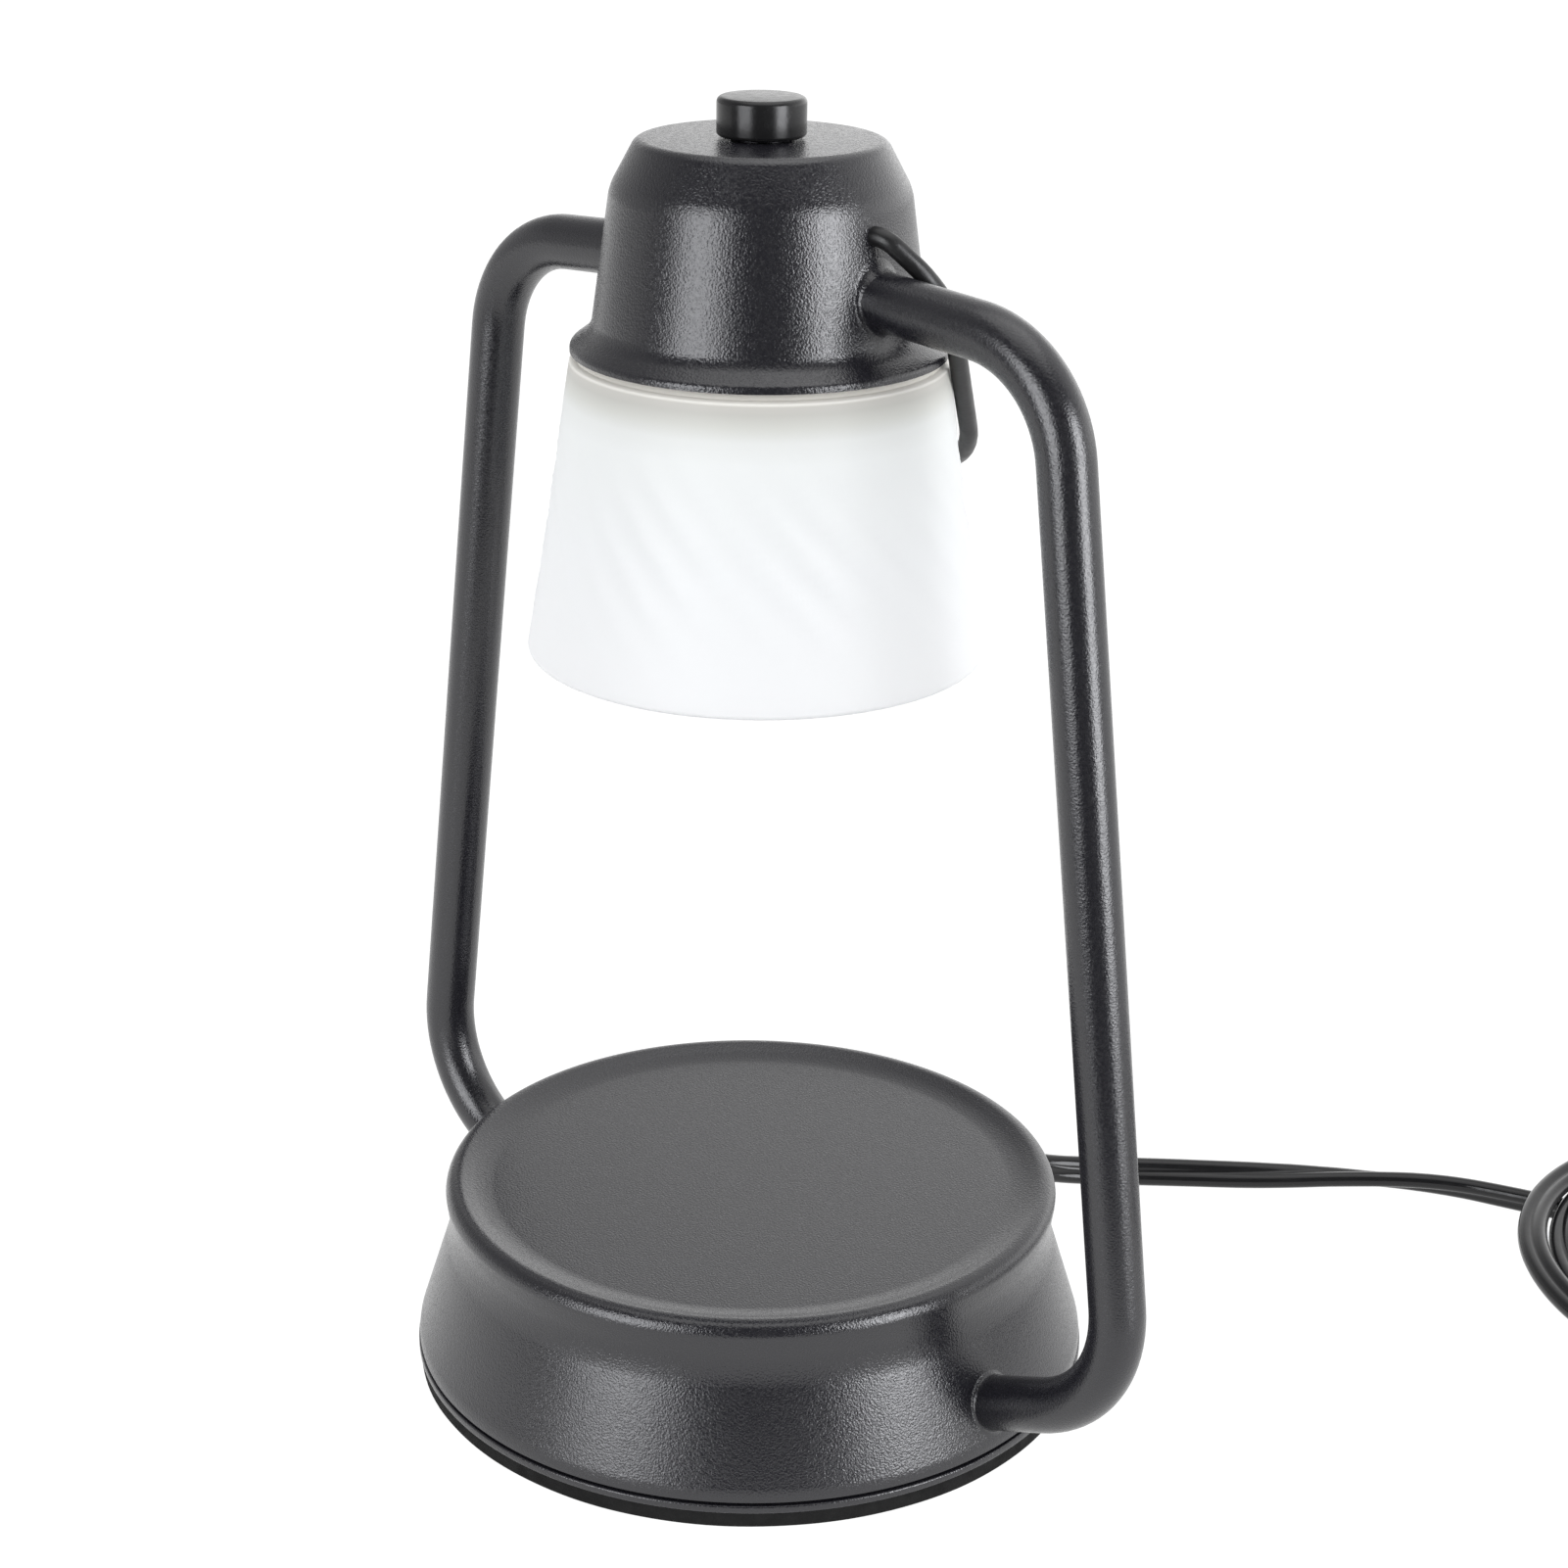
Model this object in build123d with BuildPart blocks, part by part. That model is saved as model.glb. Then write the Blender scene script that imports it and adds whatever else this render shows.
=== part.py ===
"""Candle warmer lamp: a pressed base, two bent side tubes, a bell cap with a rotary dimmer,
a frosted glass shade over a reflector bulb, and a folding wire handle.

Millimetres. +X runs along the frame, through both tubes; +Y is the back, where the cord leaves
and the handle rests; +Z is up. The origin is the middle of the base, on the table.
"""

import math
import os

from build123d import *

os.makedirs("parts", exist_ok=True)

# ---------------------------------------------------------------- driving dimensions
sheet = 1.2  # wall of the pressed base and of the bell cap
fit_gap = 0.3  # between two pieces that don't share a seat
running = 0.08  # radial clearance of a pin that turns in a hole

# base: pad ring, plate and pressed shell
pad_inset = 1.1  # inside the skirt
pad_width = 18.0
pad_height = 3.8
pad_round = 0.8
plate_inset = 0.1  # inside the skirt
plate_thickness = 1.8
plate_lip_height = 2.4
shadow_gap = 0.8  # open seam between plate and skirt
skirt_radius = 77.1
skirt_straight = 1.9  # height of the upright foot of the skirt
waist_inset = 8.0  # inside the skirt
waist_height = 33.6
rim_overhang = 1.2  # outside the waist
rim_round = 3.0  # radius of the rolled rim
rim_height = 45.1
recess_depth = 2.0
recess_slope = 20.0  # degrees, inner side of the rim
skirt_soft = 8.0  # rounding between foot and cone
waist_soft = 18.0
recess_soft = 14.0

# posts and screws that hold the plate
post_count = 3
post_inset = 8.0  # inside the pad ring
post_first_angle = 30
post_radius = 4.0
plate_screw_radius = 2.0
plate_screw_grip = 10.0
plate_screw_head = 3.8
plate_screw_head_height = 1.7
plate_screw_cross = 0.7

# side tubes
tube_radius = 5.7
tube_wall = 1.0
tube_top_rise = 17.17  # from the cap's lip to where the top arms' axes would meet
tube_shoulder_reach = 80.2
tube_shoulder_drop = 5.47  # below where the top arms' axes would meet
tube_shoulder_bend = 25.6
tube_hip_reach = 109.65
tube_hip_height = 30.2
tube_hip_bend = 29.6
tube_foot_drop = 44.3  # from the hips to where the bottom arms' axes would meet
tube_reach_in = 3.2  # how far a tube's end stands inside a wall

# bell cap
cap_lip_radius = 39.1
cap_lip_gap = 1.8  # over the shade's top
cap_height = 42.4
cap_brim_height = 1.3
cap_neck_radius = 34.5
cap_neck_rise = 2.8  # above the lip
cap_shoulder_radius = 30.6
cap_shoulder_drop = 9.8  # below the top
cap_top_radius = 25.4
cap_brim_round = 1.6
cap_neck_round = 3.3
cap_shoulder_round = 10.0
cap_edge_round = 2.4

# wire handle
wire_radius = 1.86
handle_axis_drop = 15.0  # below the cap's top
handle_inner_reach = 27.0
handle_knuckle_reach = 34.7  # the wire turns down just outside the cap
handle_knuckle_bend = 4.6
handle_elbow_reach = 43.3
handle_elbow_drop = 15.1  # from the hinge line
handle_elbow_bend = 21.3
handle_cross_reach = 19.2
handle_cross_straight = 0.5  # half the straight stretch in the middle of the cross run
handle_length = 76.5  # from the hinge line to the cross run
handle_rest_gap = 1.9  # between the cross run and the shade at rest

# rotary dimmer and knob
dimmer_width = 22.0
dimmer_height = 13.0
dimmer_wall = 1.6
dimmer_corner = 2.0
dimmer_lead_radius = 0.9
bushing_radius = 3.5
bushing_above_cap = 2.7
washer_radius = 6.3
washer_thickness = 0.6
nut_flats = 10.0
nut_thickness = 1.9
shaft_radius = 3.0
shaft_flat = 0.7
rotor_radius = 6.0
rotor_thickness = 2.0
knob_radius = 9.15
knob_gap = 1.3  # over the cap
knob_height = 7.7
knob_edge_round = 1.2
knob_skirt_wall = 1.8
knob_hollow_depth = 2.5
knob_bore_depth = 2.8

# yoke that hangs the lampholder from the cap
yoke_width = 12.0
yoke_thickness = 1.2
yoke_clearance = 1.0  # beside the dimmer
yoke_foot_length = 8.0
yoke_screw_radius = 1.4
yoke_screw_head = 2.6
yoke_screw_head_height = 1.5
yoke_screw_grip = 6.0
yoke_screw_wall = 1.2

# lampholder for a two-pin reflector bulb
holder_top_gap = 6.3  # under the dimmer, for its leads
holder_chamber_radius = 14.0
holder_wall = 2.0
holder_flange_radius = 21.0
holder_flange_thickness = 3.0
holder_barrel_radius = 17.0
holder_barrel_drop = 9.0  # below the shade's top
holder_web_rise = 1.5  # from the flange to the wall between barrel and wiring chamber
insert_radius = 14.85
insert_recess = 2.5  # inside the barrel's end
pin_spacing = 10.0
pin_radius = 1.5
pin_head_radius = 2.4
pin_neck_length = 3.0
pin_head_length = 3.5
pin_clearance = 0.3
contact_thickness = 0.5
contact_width = 4.0
contact_foot = 1.0  # above the insert's face

# bulb
bulb_radius = 25.0
bulb_length = 50.0
bulb_base_radius = 14.0
bulb_base_length = 15.0
bulb_rim_height = 4.0
bulb_wall = 1.6
bulb_flare = (0.25, -1)  # direction in which the flare leaves the neck
lens_thickness = 2.0

# glass shade and what clamps it
shade_lip_radius = 49.1
shade_bottom = 171.6
shade_height = 63.4
shade_shoulder_radius = 39.3
shade_waist = 0.3  # how far the wall bows in from a straight line
shade_wall = 2.6
shade_shoulder_round = 5.0
shade_lip_round = 0.9
shade_hole_clearance = 0.4
gasket_thickness = 1.2
gasket_radius = 20.6
ring_nut_radius = 22.5
ring_nut_height = 4.0
ring_nut_notches = 12
ring_nut_notch = 1.2

# mains cord
cord_radius = 3.5
cord_exit_height = 13.2
straight_enough = 400.0  # a bend wider than this isn't made wider
relief_tip_radius = 4.2
relief_root_radius = 5.3
relief_flange_radius = 6.8
relief_flange = 1.6
relief_length_outside = 14.3
relief_length_inside = 5.0
lead_radius = 2.4  # inner lead that climbs through the right tube
lead_low = 56.0  # where the lead leaves the tube's line inside the base
lead_base_bend = 30.0
lead_floor_bend = 8.0
lead_floor_start = 2.0  # along
connector_radius = 3.1
connector_length = 15.0
connector_round = 0.6
connector_places = (10.0, 18.0)  # across
connector_start = 20.0  # along
tail_straight = 4.0  # behind the strain relief
tail_turn = (4.0, 50.0)  # across and along
tail_turn_rise = 1.0
tail_end = (14.0, 41.0)
tail_largest_bend = 30.0

# coil of the spare cord, and the plug
coil_centre = (172.0, 194.0)
coil_inner_radius = 46.0
coil_outer_radius = 79.0
coil_height = 15.0
coil_round = 5.0
plug_place = (259.6, 171.5)  # where the cord enters the plug
plug_width = 24.0
plug_thickness = 13.6
plug_length = 26.0
plug_tail_length = 12.0
plug_round = 3.5
plug_tail_root = 5.2
plug_back_chamfer = 2.1
plug_grip_depth = 1.2
plug_floor_gap = 0.1
blade_spacing = 12.7
blade_width = 6.4
blade_thickness = 1.5
blade_length = 17.0
blade_hole_radius = 1.6
blade_hole_from_end = 4.8

# ---------------------------------------------------------------- heights worked out from them
pad_radius = skirt_radius - pad_inset
plate_radius = skirt_radius - plate_inset
post_circle_radius = pad_radius - pad_width - post_inset
waist_radius = skirt_radius - waist_inset
rim_radius = waist_radius + rim_overhang
plate_bottom = pad_height
plate_top = plate_bottom + plate_thickness
skirt_bottom = plate_top + shadow_gap
shade_top = shade_bottom + shade_height
cap_lip_bottom = shade_top + cap_lip_gap
cap_top = cap_lip_bottom + cap_height
cap_neck = (cap_neck_radius, cap_lip_bottom + cap_neck_rise)
cap_shoulder = (cap_shoulder_radius, cap_top - cap_shoulder_drop)
tube_top_axis_height = cap_lip_bottom + tube_top_rise
tube_shoulder = (tube_shoulder_reach, tube_top_axis_height - tube_shoulder_drop)
tube_hip = (tube_hip_reach, tube_hip_height)
tube_foot_axis_height = tube_hip_height - tube_foot_drop
handle_axis_height = cap_top - handle_axis_drop
knob_bottom = cap_top + knob_gap
knob_top = knob_bottom + knob_height
recess_height = rim_height - recess_depth
post_top = recess_height - sheet
yoke_top = cap_top - sheet
dimmer_top = yoke_top - yoke_thickness
dimmer_bottom = dimmer_top - dimmer_height
bushing_top = cap_top + bushing_above_cap
flange_bottom = shade_top + gasket_thickness
flange_top = flange_bottom + holder_flange_thickness
holder_top = dimmer_bottom - holder_top_gap
holder_web = flange_bottom + holder_web_rise
holder_barrel_bottom = shade_top - holder_barrel_drop
insert_bottom = holder_barrel_bottom + insert_recess
bulb_front = insert_bottom - bulb_length
yoke_leg = dimmer_width / 2 + yoke_clearance
# the handle leans back until its cross run lies along the shade
shade_lean = math.atan2(shade_lip_radius - shade_shoulder_radius, shade_height)
handle_stand_off = (
    wire_radius
    + handle_rest_gap
    + shade_lip_radius * math.cos(shade_lean)
    - (handle_axis_height - shade_bottom) * math.sin(shade_lean)
)
handle_tilt = shade_lean + math.asin(handle_stand_off / handle_length)
# its leg turns into the cross run in one wide bend
handle_leg_turn = math.pi - math.atan2(
    handle_length - handle_elbow_drop, handle_cross_reach - handle_elbow_reach
)
handle_cross_bend = (handle_cross_reach - handle_cross_straight) / math.tan(handle_leg_turn / 2)


def arm_height(x, middle, corner):
    """Height of a tube arm's axis at x, on the line from the middle to its corner."""
    return middle + (corner[1] - middle) * x / corner[0]


def radius_on(line_start, line_end, height):
    """Radius at a height on the straight line between two profile points."""
    share = (height - line_start[1]) / (line_end[1] - line_start[1])
    return line_start[0] + (line_end[0] - line_start[0]) * share


def crossing(middle, corner, wall_start, wall_end):
    """Where a tube arm's axis crosses a straight stretch of a turned wall."""
    slope = (corner[1] - middle) / corner[0]
    wall_lean = (wall_end[0] - wall_start[0]) / (wall_end[1] - wall_start[1])
    x = (wall_start[0] + wall_lean * (middle - wall_start[1])) / (1 - wall_lean * slope)
    return x, middle + slope * x


def touching(corner, centre, radius):
    """Where a line that rises from a corner touches the outer side of a circle."""
    angle = math.atan2(corner[1] - centre[1], corner[0] - centre[0])
    angle += math.acos(radius / math.dist(corner, centre))
    return centre[0] + radius * math.cos(angle), centre[1] + radius * math.sin(angle)


# ---------------------------------------------------------------- pressed base shell
skirt_knee = (skirt_radius, skirt_bottom + skirt_straight)
waist = (waist_radius, waist_height)
rim_centre = (rim_radius - rim_round, rim_height - rim_round)
rim_outer = touching(waist, rim_centre, rim_round)
slope_angle = math.radians(recess_slope)
rim_inner = (
    rim_centre[0] - rim_round * math.sin(slope_angle),
    rim_centre[1] + rim_round * math.cos(slope_angle),
)
recess_corner = (
    rim_inner[0] - (rim_inner[1] - recess_height) / math.tan(slope_angle),
    recess_height,
)
base_joint = crossing(tube_foot_axis_height, tube_hip, skirt_knee, waist)
foot_angle = math.degrees(math.atan2(tube_hip[1] - tube_foot_axis_height, tube_hip[0]))

with BuildPart() as base_shell:
    with BuildSketch(Plane.XZ):
        with BuildLine():
            FilletPolyline(
                (skirt_radius, skirt_bottom),
                skirt_knee,
                waist,
                rim_outer,
                radius=[skirt_soft, waist_soft],
            )
            ThreePointArc(
                rim_outer,
                (
                    rim_centre[0] + rim_round * math.sin(math.pi / 4),
                    rim_centre[1] + rim_round * math.cos(math.pi / 4),
                ),
                rim_inner,
            )
            FilletPolyline(rim_inner, recess_corner, (0, recess_height), radius=recess_soft)
            offset(amount=sheet, side=Side.LEFT)
        make_face()
    revolve(axis=Axis.Z)
    # holes where the tubes pass the skirt
    for side in (1, -1):
        with BuildSketch(
            Plane(
                origin=(side * base_joint[0], 0, base_joint[1]),
                z_dir=(side * math.cos(math.radians(foot_angle)), 0, math.sin(math.radians(foot_angle))),
            )
        ):
            Circle(tube_radius)
        extrude(amount=3 * sheet, both=True, mode=Mode.SUBTRACT)
    # hole for the strain relief
    with BuildSketch(Plane.XZ.offset(-skirt_radius)):
        with Locations((0, cord_exit_height)):
            Circle(relief_root_radius + fit_gap)
    extrude(amount=4 * sheet, both=True, mode=Mode.SUBTRACT)
base_shell.part.label = "base_shell"
export_step(base_shell.part, "parts/base_shell.step")

# ---------------------------------------------------------------- bottom plate, posts, screws, pad
with BuildPart() as base_plate:
    with BuildSketch(Plane.XY.offset(plate_bottom)):
        Circle(plate_radius)
    extrude(amount=plate_thickness)
    # upright lip that centres the plate inside the skirt
    with BuildSketch(Plane.XY.offset(plate_top)):
        Circle(skirt_radius - sheet - fit_gap)
        Circle(skirt_radius - 2 * sheet - fit_gap, mode=Mode.SUBTRACT)
    extrude(amount=plate_lip_height)
    with BuildSketch(Plane.XY.offset(plate_bottom)):
        with PolarLocations(post_circle_radius, post_count, start_angle=post_first_angle):
            Circle(plate_screw_radius + fit_gap)
    extrude(amount=plate_thickness, mode=Mode.SUBTRACT)
    # notch in the lip for the strain relief
    with BuildSketch(Plane.XY.offset(plate_top)):
        with Locations((0, skirt_radius)):
            Rectangle(2 * (relief_flange_radius + fit_gap), 8 * sheet)
    extrude(amount=plate_lip_height, mode=Mode.SUBTRACT)
base_plate.part.label = "base_plate"
export_step(base_plate.part, "parts/base_plate.step")

with BuildPart() as base_pad:
    with BuildSketch():
        Circle(pad_radius)
        Circle(pad_radius - pad_width, mode=Mode.SUBTRACT)
    extrude(amount=pad_height)
    fillet(base_pad.edges().group_by(Axis.Z)[0].sort_by(SortBy.RADIUS)[-1], pad_round)
base_pad.part.label = "base_pad"
export_step(base_pad.part, "parts/base_pad.step")

with BuildPart() as base_posts:
    with BuildSketch(Plane.XY.offset(plate_top)):
        with PolarLocations(post_circle_radius, post_count, start_angle=post_first_angle):
            Circle(post_radius)
    extrude(amount=post_top - plate_top)
    with BuildSketch(Plane.XY.offset(plate_top)):
        with PolarLocations(post_circle_radius, post_count, start_angle=post_first_angle):
            Circle(plate_screw_radius)
    extrude(amount=plate_screw_grip, mode=Mode.SUBTRACT)
base_posts.part.label = "base_posts"
export_step(base_posts.part, "parts/base_posts.step")

with BuildPart() as plate_screws:
    with BuildSketch(Plane.XY.offset(plate_bottom)):
        with PolarLocations(post_circle_radius, post_count, start_angle=post_first_angle):
            Circle(plate_screw_radius)
    extrude(amount=plate_thickness + plate_screw_grip)
    with BuildSketch(Plane.XY.offset(plate_bottom)):
        with PolarLocations(post_circle_radius, post_count, start_angle=post_first_angle):
            Circle(plate_screw_head)
    extrude(amount=-plate_screw_head_height)
    fillet(plate_screws.edges().group_by(Axis.Z)[0], plate_screw_head_height / 2)
    # cross recess in each head
    with BuildSketch(Plane.XY.offset(plate_bottom - plate_screw_head_height)):
        with PolarLocations(post_circle_radius, post_count, start_angle=post_first_angle):
            Rectangle(plate_screw_head, plate_screw_cross)
            Rectangle(plate_screw_cross, plate_screw_head)
    extrude(amount=plate_screw_head_height / 2, mode=Mode.SUBTRACT)
plate_screws.part.label = "plate_screws"
export_step(plate_screws.part, "parts/plate_screws.step")

# ---------------------------------------------------------------- bent side tubes
cap_joint = crossing(tube_top_axis_height, tube_shoulder, cap_neck, cap_shoulder)
arm_angle = math.degrees(math.atan2(tube_top_axis_height - tube_shoulder[1], tube_shoulder[0]))
tube_top_end = cap_joint[0] - tube_reach_in
tube_foot_end = base_joint[0] - tube_reach_in


def tube_axis(side, top_end, foot_end):
    """The axis of one side tube, from inside the cap round to inside the base."""
    return FilletPolyline(
        (side * top_end, 0, arm_height(top_end, tube_top_axis_height, tube_shoulder)),
        (side * tube_shoulder[0], 0, tube_shoulder[1]),
        (side * tube_hip[0], 0, tube_hip[1]),
        (side * foot_end, 0, arm_height(foot_end, tube_foot_axis_height, tube_hip)),
        radius=[tube_shoulder_bend, tube_hip_bend],
    )


def side_tube(side):
    """One bent tube, open at both ends."""
    with BuildPart() as tube:
        with BuildLine() as axis:
            tube_axis(side, tube_top_end, tube_foot_end)
        with BuildSketch(Plane(origin=axis.line @ 0, z_dir=axis.line % 0)):
            Circle(tube_radius)
            Circle(tube_radius - tube_wall, mode=Mode.SUBTRACT)
        sweep()
    return tube


side_tubes = {"right_tube": side_tube(1), "left_tube": side_tube(-1)}
for name, tube in side_tubes.items():
    tube.part.label = name
    export_step(tube.part, f"parts/{name}.step")

# ---------------------------------------------------------------- bell cap
hinge_wall = radius_on(cap_neck, cap_shoulder, handle_axis_height)
with BuildPart() as bell_cap:
    with BuildSketch(Plane.XZ):
        with BuildLine():
            FilletPolyline(
                (cap_lip_radius, cap_lip_bottom),
                (cap_lip_radius, cap_lip_bottom + cap_brim_height),
                cap_neck,
                cap_shoulder,
                (cap_top_radius, cap_top),
                (0, cap_top),
                radius=[cap_brim_round, cap_neck_round, cap_shoulder_round, cap_edge_round],
            )
            offset(amount=sheet, side=Side.LEFT)
        make_face()
    revolve(axis=Axis.Z)
    # hole for the dimmer's bushing
    with BuildSketch(Plane.XY.offset(cap_top)):
        Circle(bushing_radius + fit_gap)
    extrude(amount=-2 * sheet, mode=Mode.SUBTRACT)
    # holes for the handle's ends
    with BuildSketch(Plane.YZ):
        with Locations((0, handle_axis_height)):
            Circle(wire_radius + running)
    extrude(amount=2 * hinge_wall, both=True, mode=Mode.SUBTRACT)
    # holes where the tubes enter
    for side in (1, -1):
        with BuildSketch(
            Plane(
                origin=(side * cap_joint[0], 0, cap_joint[1]),
                z_dir=(side * math.cos(math.radians(arm_angle)), 0, -math.sin(math.radians(arm_angle))),
            )
        ):
            Circle(tube_radius)
        extrude(amount=3 * sheet, both=True, mode=Mode.SUBTRACT)
bell_cap.part.label = "bell_cap"
export_step(bell_cap.part, "parts/bell_cap.step")

# ---------------------------------------------------------------- wire handle
handle_plane = Plane(
    origin=(0, 0, handle_axis_height),
    x_dir=(1, 0, 0),
    z_dir=(0, math.cos(handle_tilt), math.sin(handle_tilt)),
)
handle_bends = [handle_knuckle_bend, handle_elbow_bend, handle_cross_bend]
with BuildPart() as bail_handle:
    with BuildLine(handle_plane) as wire:
        FilletPolyline(
            (handle_inner_reach, 0),
            (handle_knuckle_reach, 0),
            (handle_elbow_reach, handle_elbow_drop),
            (handle_cross_reach, handle_length),
            (-handle_cross_reach, handle_length),
            (-handle_elbow_reach, handle_elbow_drop),
            (-handle_knuckle_reach, 0),
            (-handle_inner_reach, 0),
            radius=handle_bends + handle_bends[::-1],
        )
    with BuildSketch(Plane(origin=wire.line @ 0, z_dir=wire.line % 0)):
        Circle(wire_radius)
    sweep()
bail_handle.part.label = "bail_handle"
export_step(bail_handle.part, "parts/bail_handle.step")

# ---------------------------------------------------------------- rotary dimmer
with BuildPart() as dimmer_body:
    with BuildSketch(Plane.XY.offset(dimmer_bottom)):
        RectangleRounded(dimmer_width, dimmer_width, dimmer_corner)
    extrude(amount=dimmer_height)
    # threaded bushing through the yoke and the cap
    with BuildSketch(Plane.XY.offset(dimmer_top)):
        Circle(bushing_radius)
    extrude(amount=bushing_top - dimmer_top)
    # chamber for the rotor, and the bore for its shaft
    with BuildSketch(Plane.XY.offset(dimmer_top - dimmer_wall)):
        Circle(rotor_radius + fit_gap)
    extrude(amount=-(rotor_thickness + 2 * fit_gap), mode=Mode.SUBTRACT)
    with BuildSketch(Plane.XY.offset(dimmer_top - dimmer_wall)):
        Circle(shaft_radius + running)
    extrude(amount=bushing_top - dimmer_top + dimmer_wall, mode=Mode.SUBTRACT)
dimmer_body.part.label = "dimmer_body"
export_step(dimmer_body.part, "parts/dimmer_body.step")

with BuildPart() as bushing_washer:
    with BuildSketch(Plane.XY.offset(cap_top)):
        Circle(washer_radius)
        Circle(bushing_radius + fit_gap / 2, mode=Mode.SUBTRACT)
    extrude(amount=washer_thickness)
bushing_washer.part.label = "bushing_washer"
export_step(bushing_washer.part, "parts/bushing_washer.step")

with BuildPart() as bushing_nut:
    with BuildSketch(Plane.XY.offset(cap_top + washer_thickness)):
        RegularPolygon(nut_flats / 2, 6, major_radius=False)
        Circle(bushing_radius, mode=Mode.SUBTRACT)
    extrude(amount=nut_thickness)
bushing_nut.part.label = "bushing_nut"
export_step(bushing_nut.part, "parts/bushing_nut.step")

rotor_top = dimmer_top - dimmer_wall - fit_gap
shaft_top = knob_bottom + knob_hollow_depth + knob_bore_depth - fit_gap
with BuildPart() as dimmer_shaft:
    with BuildSketch(Plane.XY.offset(rotor_top)):
        Circle(rotor_radius)
    extrude(amount=-rotor_thickness)
    with BuildSketch(Plane.XY.offset(rotor_top)):
        Circle(shaft_radius)
    extrude(amount=shaft_top - rotor_top)
    # flat that keys the knob
    with BuildSketch(Plane.XY.offset(shaft_top)):
        with Locations((0, -shaft_radius)):
            Rectangle(2 * shaft_radius, 2 * shaft_flat)
    extrude(amount=-knob_bore_depth + fit_gap, mode=Mode.SUBTRACT)
dimmer_shaft.part.label = "dimmer_shaft"
export_step(dimmer_shaft.part, "parts/dimmer_shaft.step")

with BuildPart() as knob:
    with BuildSketch(Plane.XY.offset(knob_bottom)):
        Circle(knob_radius)
    extrude(amount=knob_top - knob_bottom)
    fillet(knob.edges().filter_by(GeomType.CIRCLE), knob_edge_round)
    # hollow underneath that clears the nut
    with BuildSketch(Plane.XY.offset(knob_bottom)):
        Circle(knob_radius - knob_skirt_wall)
    extrude(amount=knob_hollow_depth, mode=Mode.SUBTRACT)
    # keyed bore
    with BuildSketch(Plane.XY.offset(knob_bottom + knob_hollow_depth)):
        Circle(shaft_radius)
        with Locations((0, -shaft_radius)):
            Rectangle(2 * shaft_radius, 2 * shaft_flat, mode=Mode.SUBTRACT)
    extrude(amount=knob_bore_depth, mode=Mode.SUBTRACT)
knob.part.label = "knob"
export_step(knob.part, "parts/knob.step")

# ---------------------------------------------------------------- yoke that carries the lampholder
foot_top = holder_top + yoke_thickness
with BuildPart() as socket_yoke:
    with BuildSketch(Plane.YZ):
        with BuildLine():
            Polyline(
                (-yoke_leg + yoke_foot_length, foot_top),
                (-yoke_leg, foot_top),
                (-yoke_leg, yoke_top - yoke_thickness),
                (yoke_leg, yoke_top - yoke_thickness),
                (yoke_leg, foot_top),
                (yoke_leg - yoke_foot_length, foot_top),
            )
            offset(amount=yoke_thickness, side=Side.LEFT)
        make_face()
    extrude(amount=yoke_width / 2, both=True)
    with BuildSketch(Plane.XY.offset(yoke_top)):
        Circle(bushing_radius + fit_gap)
    extrude(amount=-2 * yoke_thickness, mode=Mode.SUBTRACT)
    with BuildSketch(Plane.XY.offset(foot_top)):
        with Locations(*[(0, side * (yoke_leg - yoke_foot_length / 2)) for side in (1, -1)]):
            Circle(yoke_screw_radius + fit_gap)
    extrude(amount=-2 * yoke_thickness, mode=Mode.SUBTRACT)
socket_yoke.part.label = "socket_yoke"
export_step(socket_yoke.part, "parts/socket_yoke.step")

with BuildPart() as yoke_screws:
    for side in (1, -1):
        with BuildSketch(Plane.XY.offset(foot_top)):
            with Locations((0, side * (yoke_leg - yoke_foot_length / 2))):
                Circle(yoke_screw_head)
        extrude(amount=yoke_screw_head_height)
        with BuildSketch(Plane.XY.offset(foot_top)):
            with Locations((0, side * (yoke_leg - yoke_foot_length / 2))):
                Circle(yoke_screw_radius)
        extrude(amount=-(yoke_thickness + yoke_screw_grip))
    fillet(yoke_screws.edges().group_by(Axis.Z)[-1], yoke_screw_head_height / 2)
yoke_screws.part.label = "yoke_screws"
export_step(yoke_screws.part, "parts/yoke_screws.step")

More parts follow.
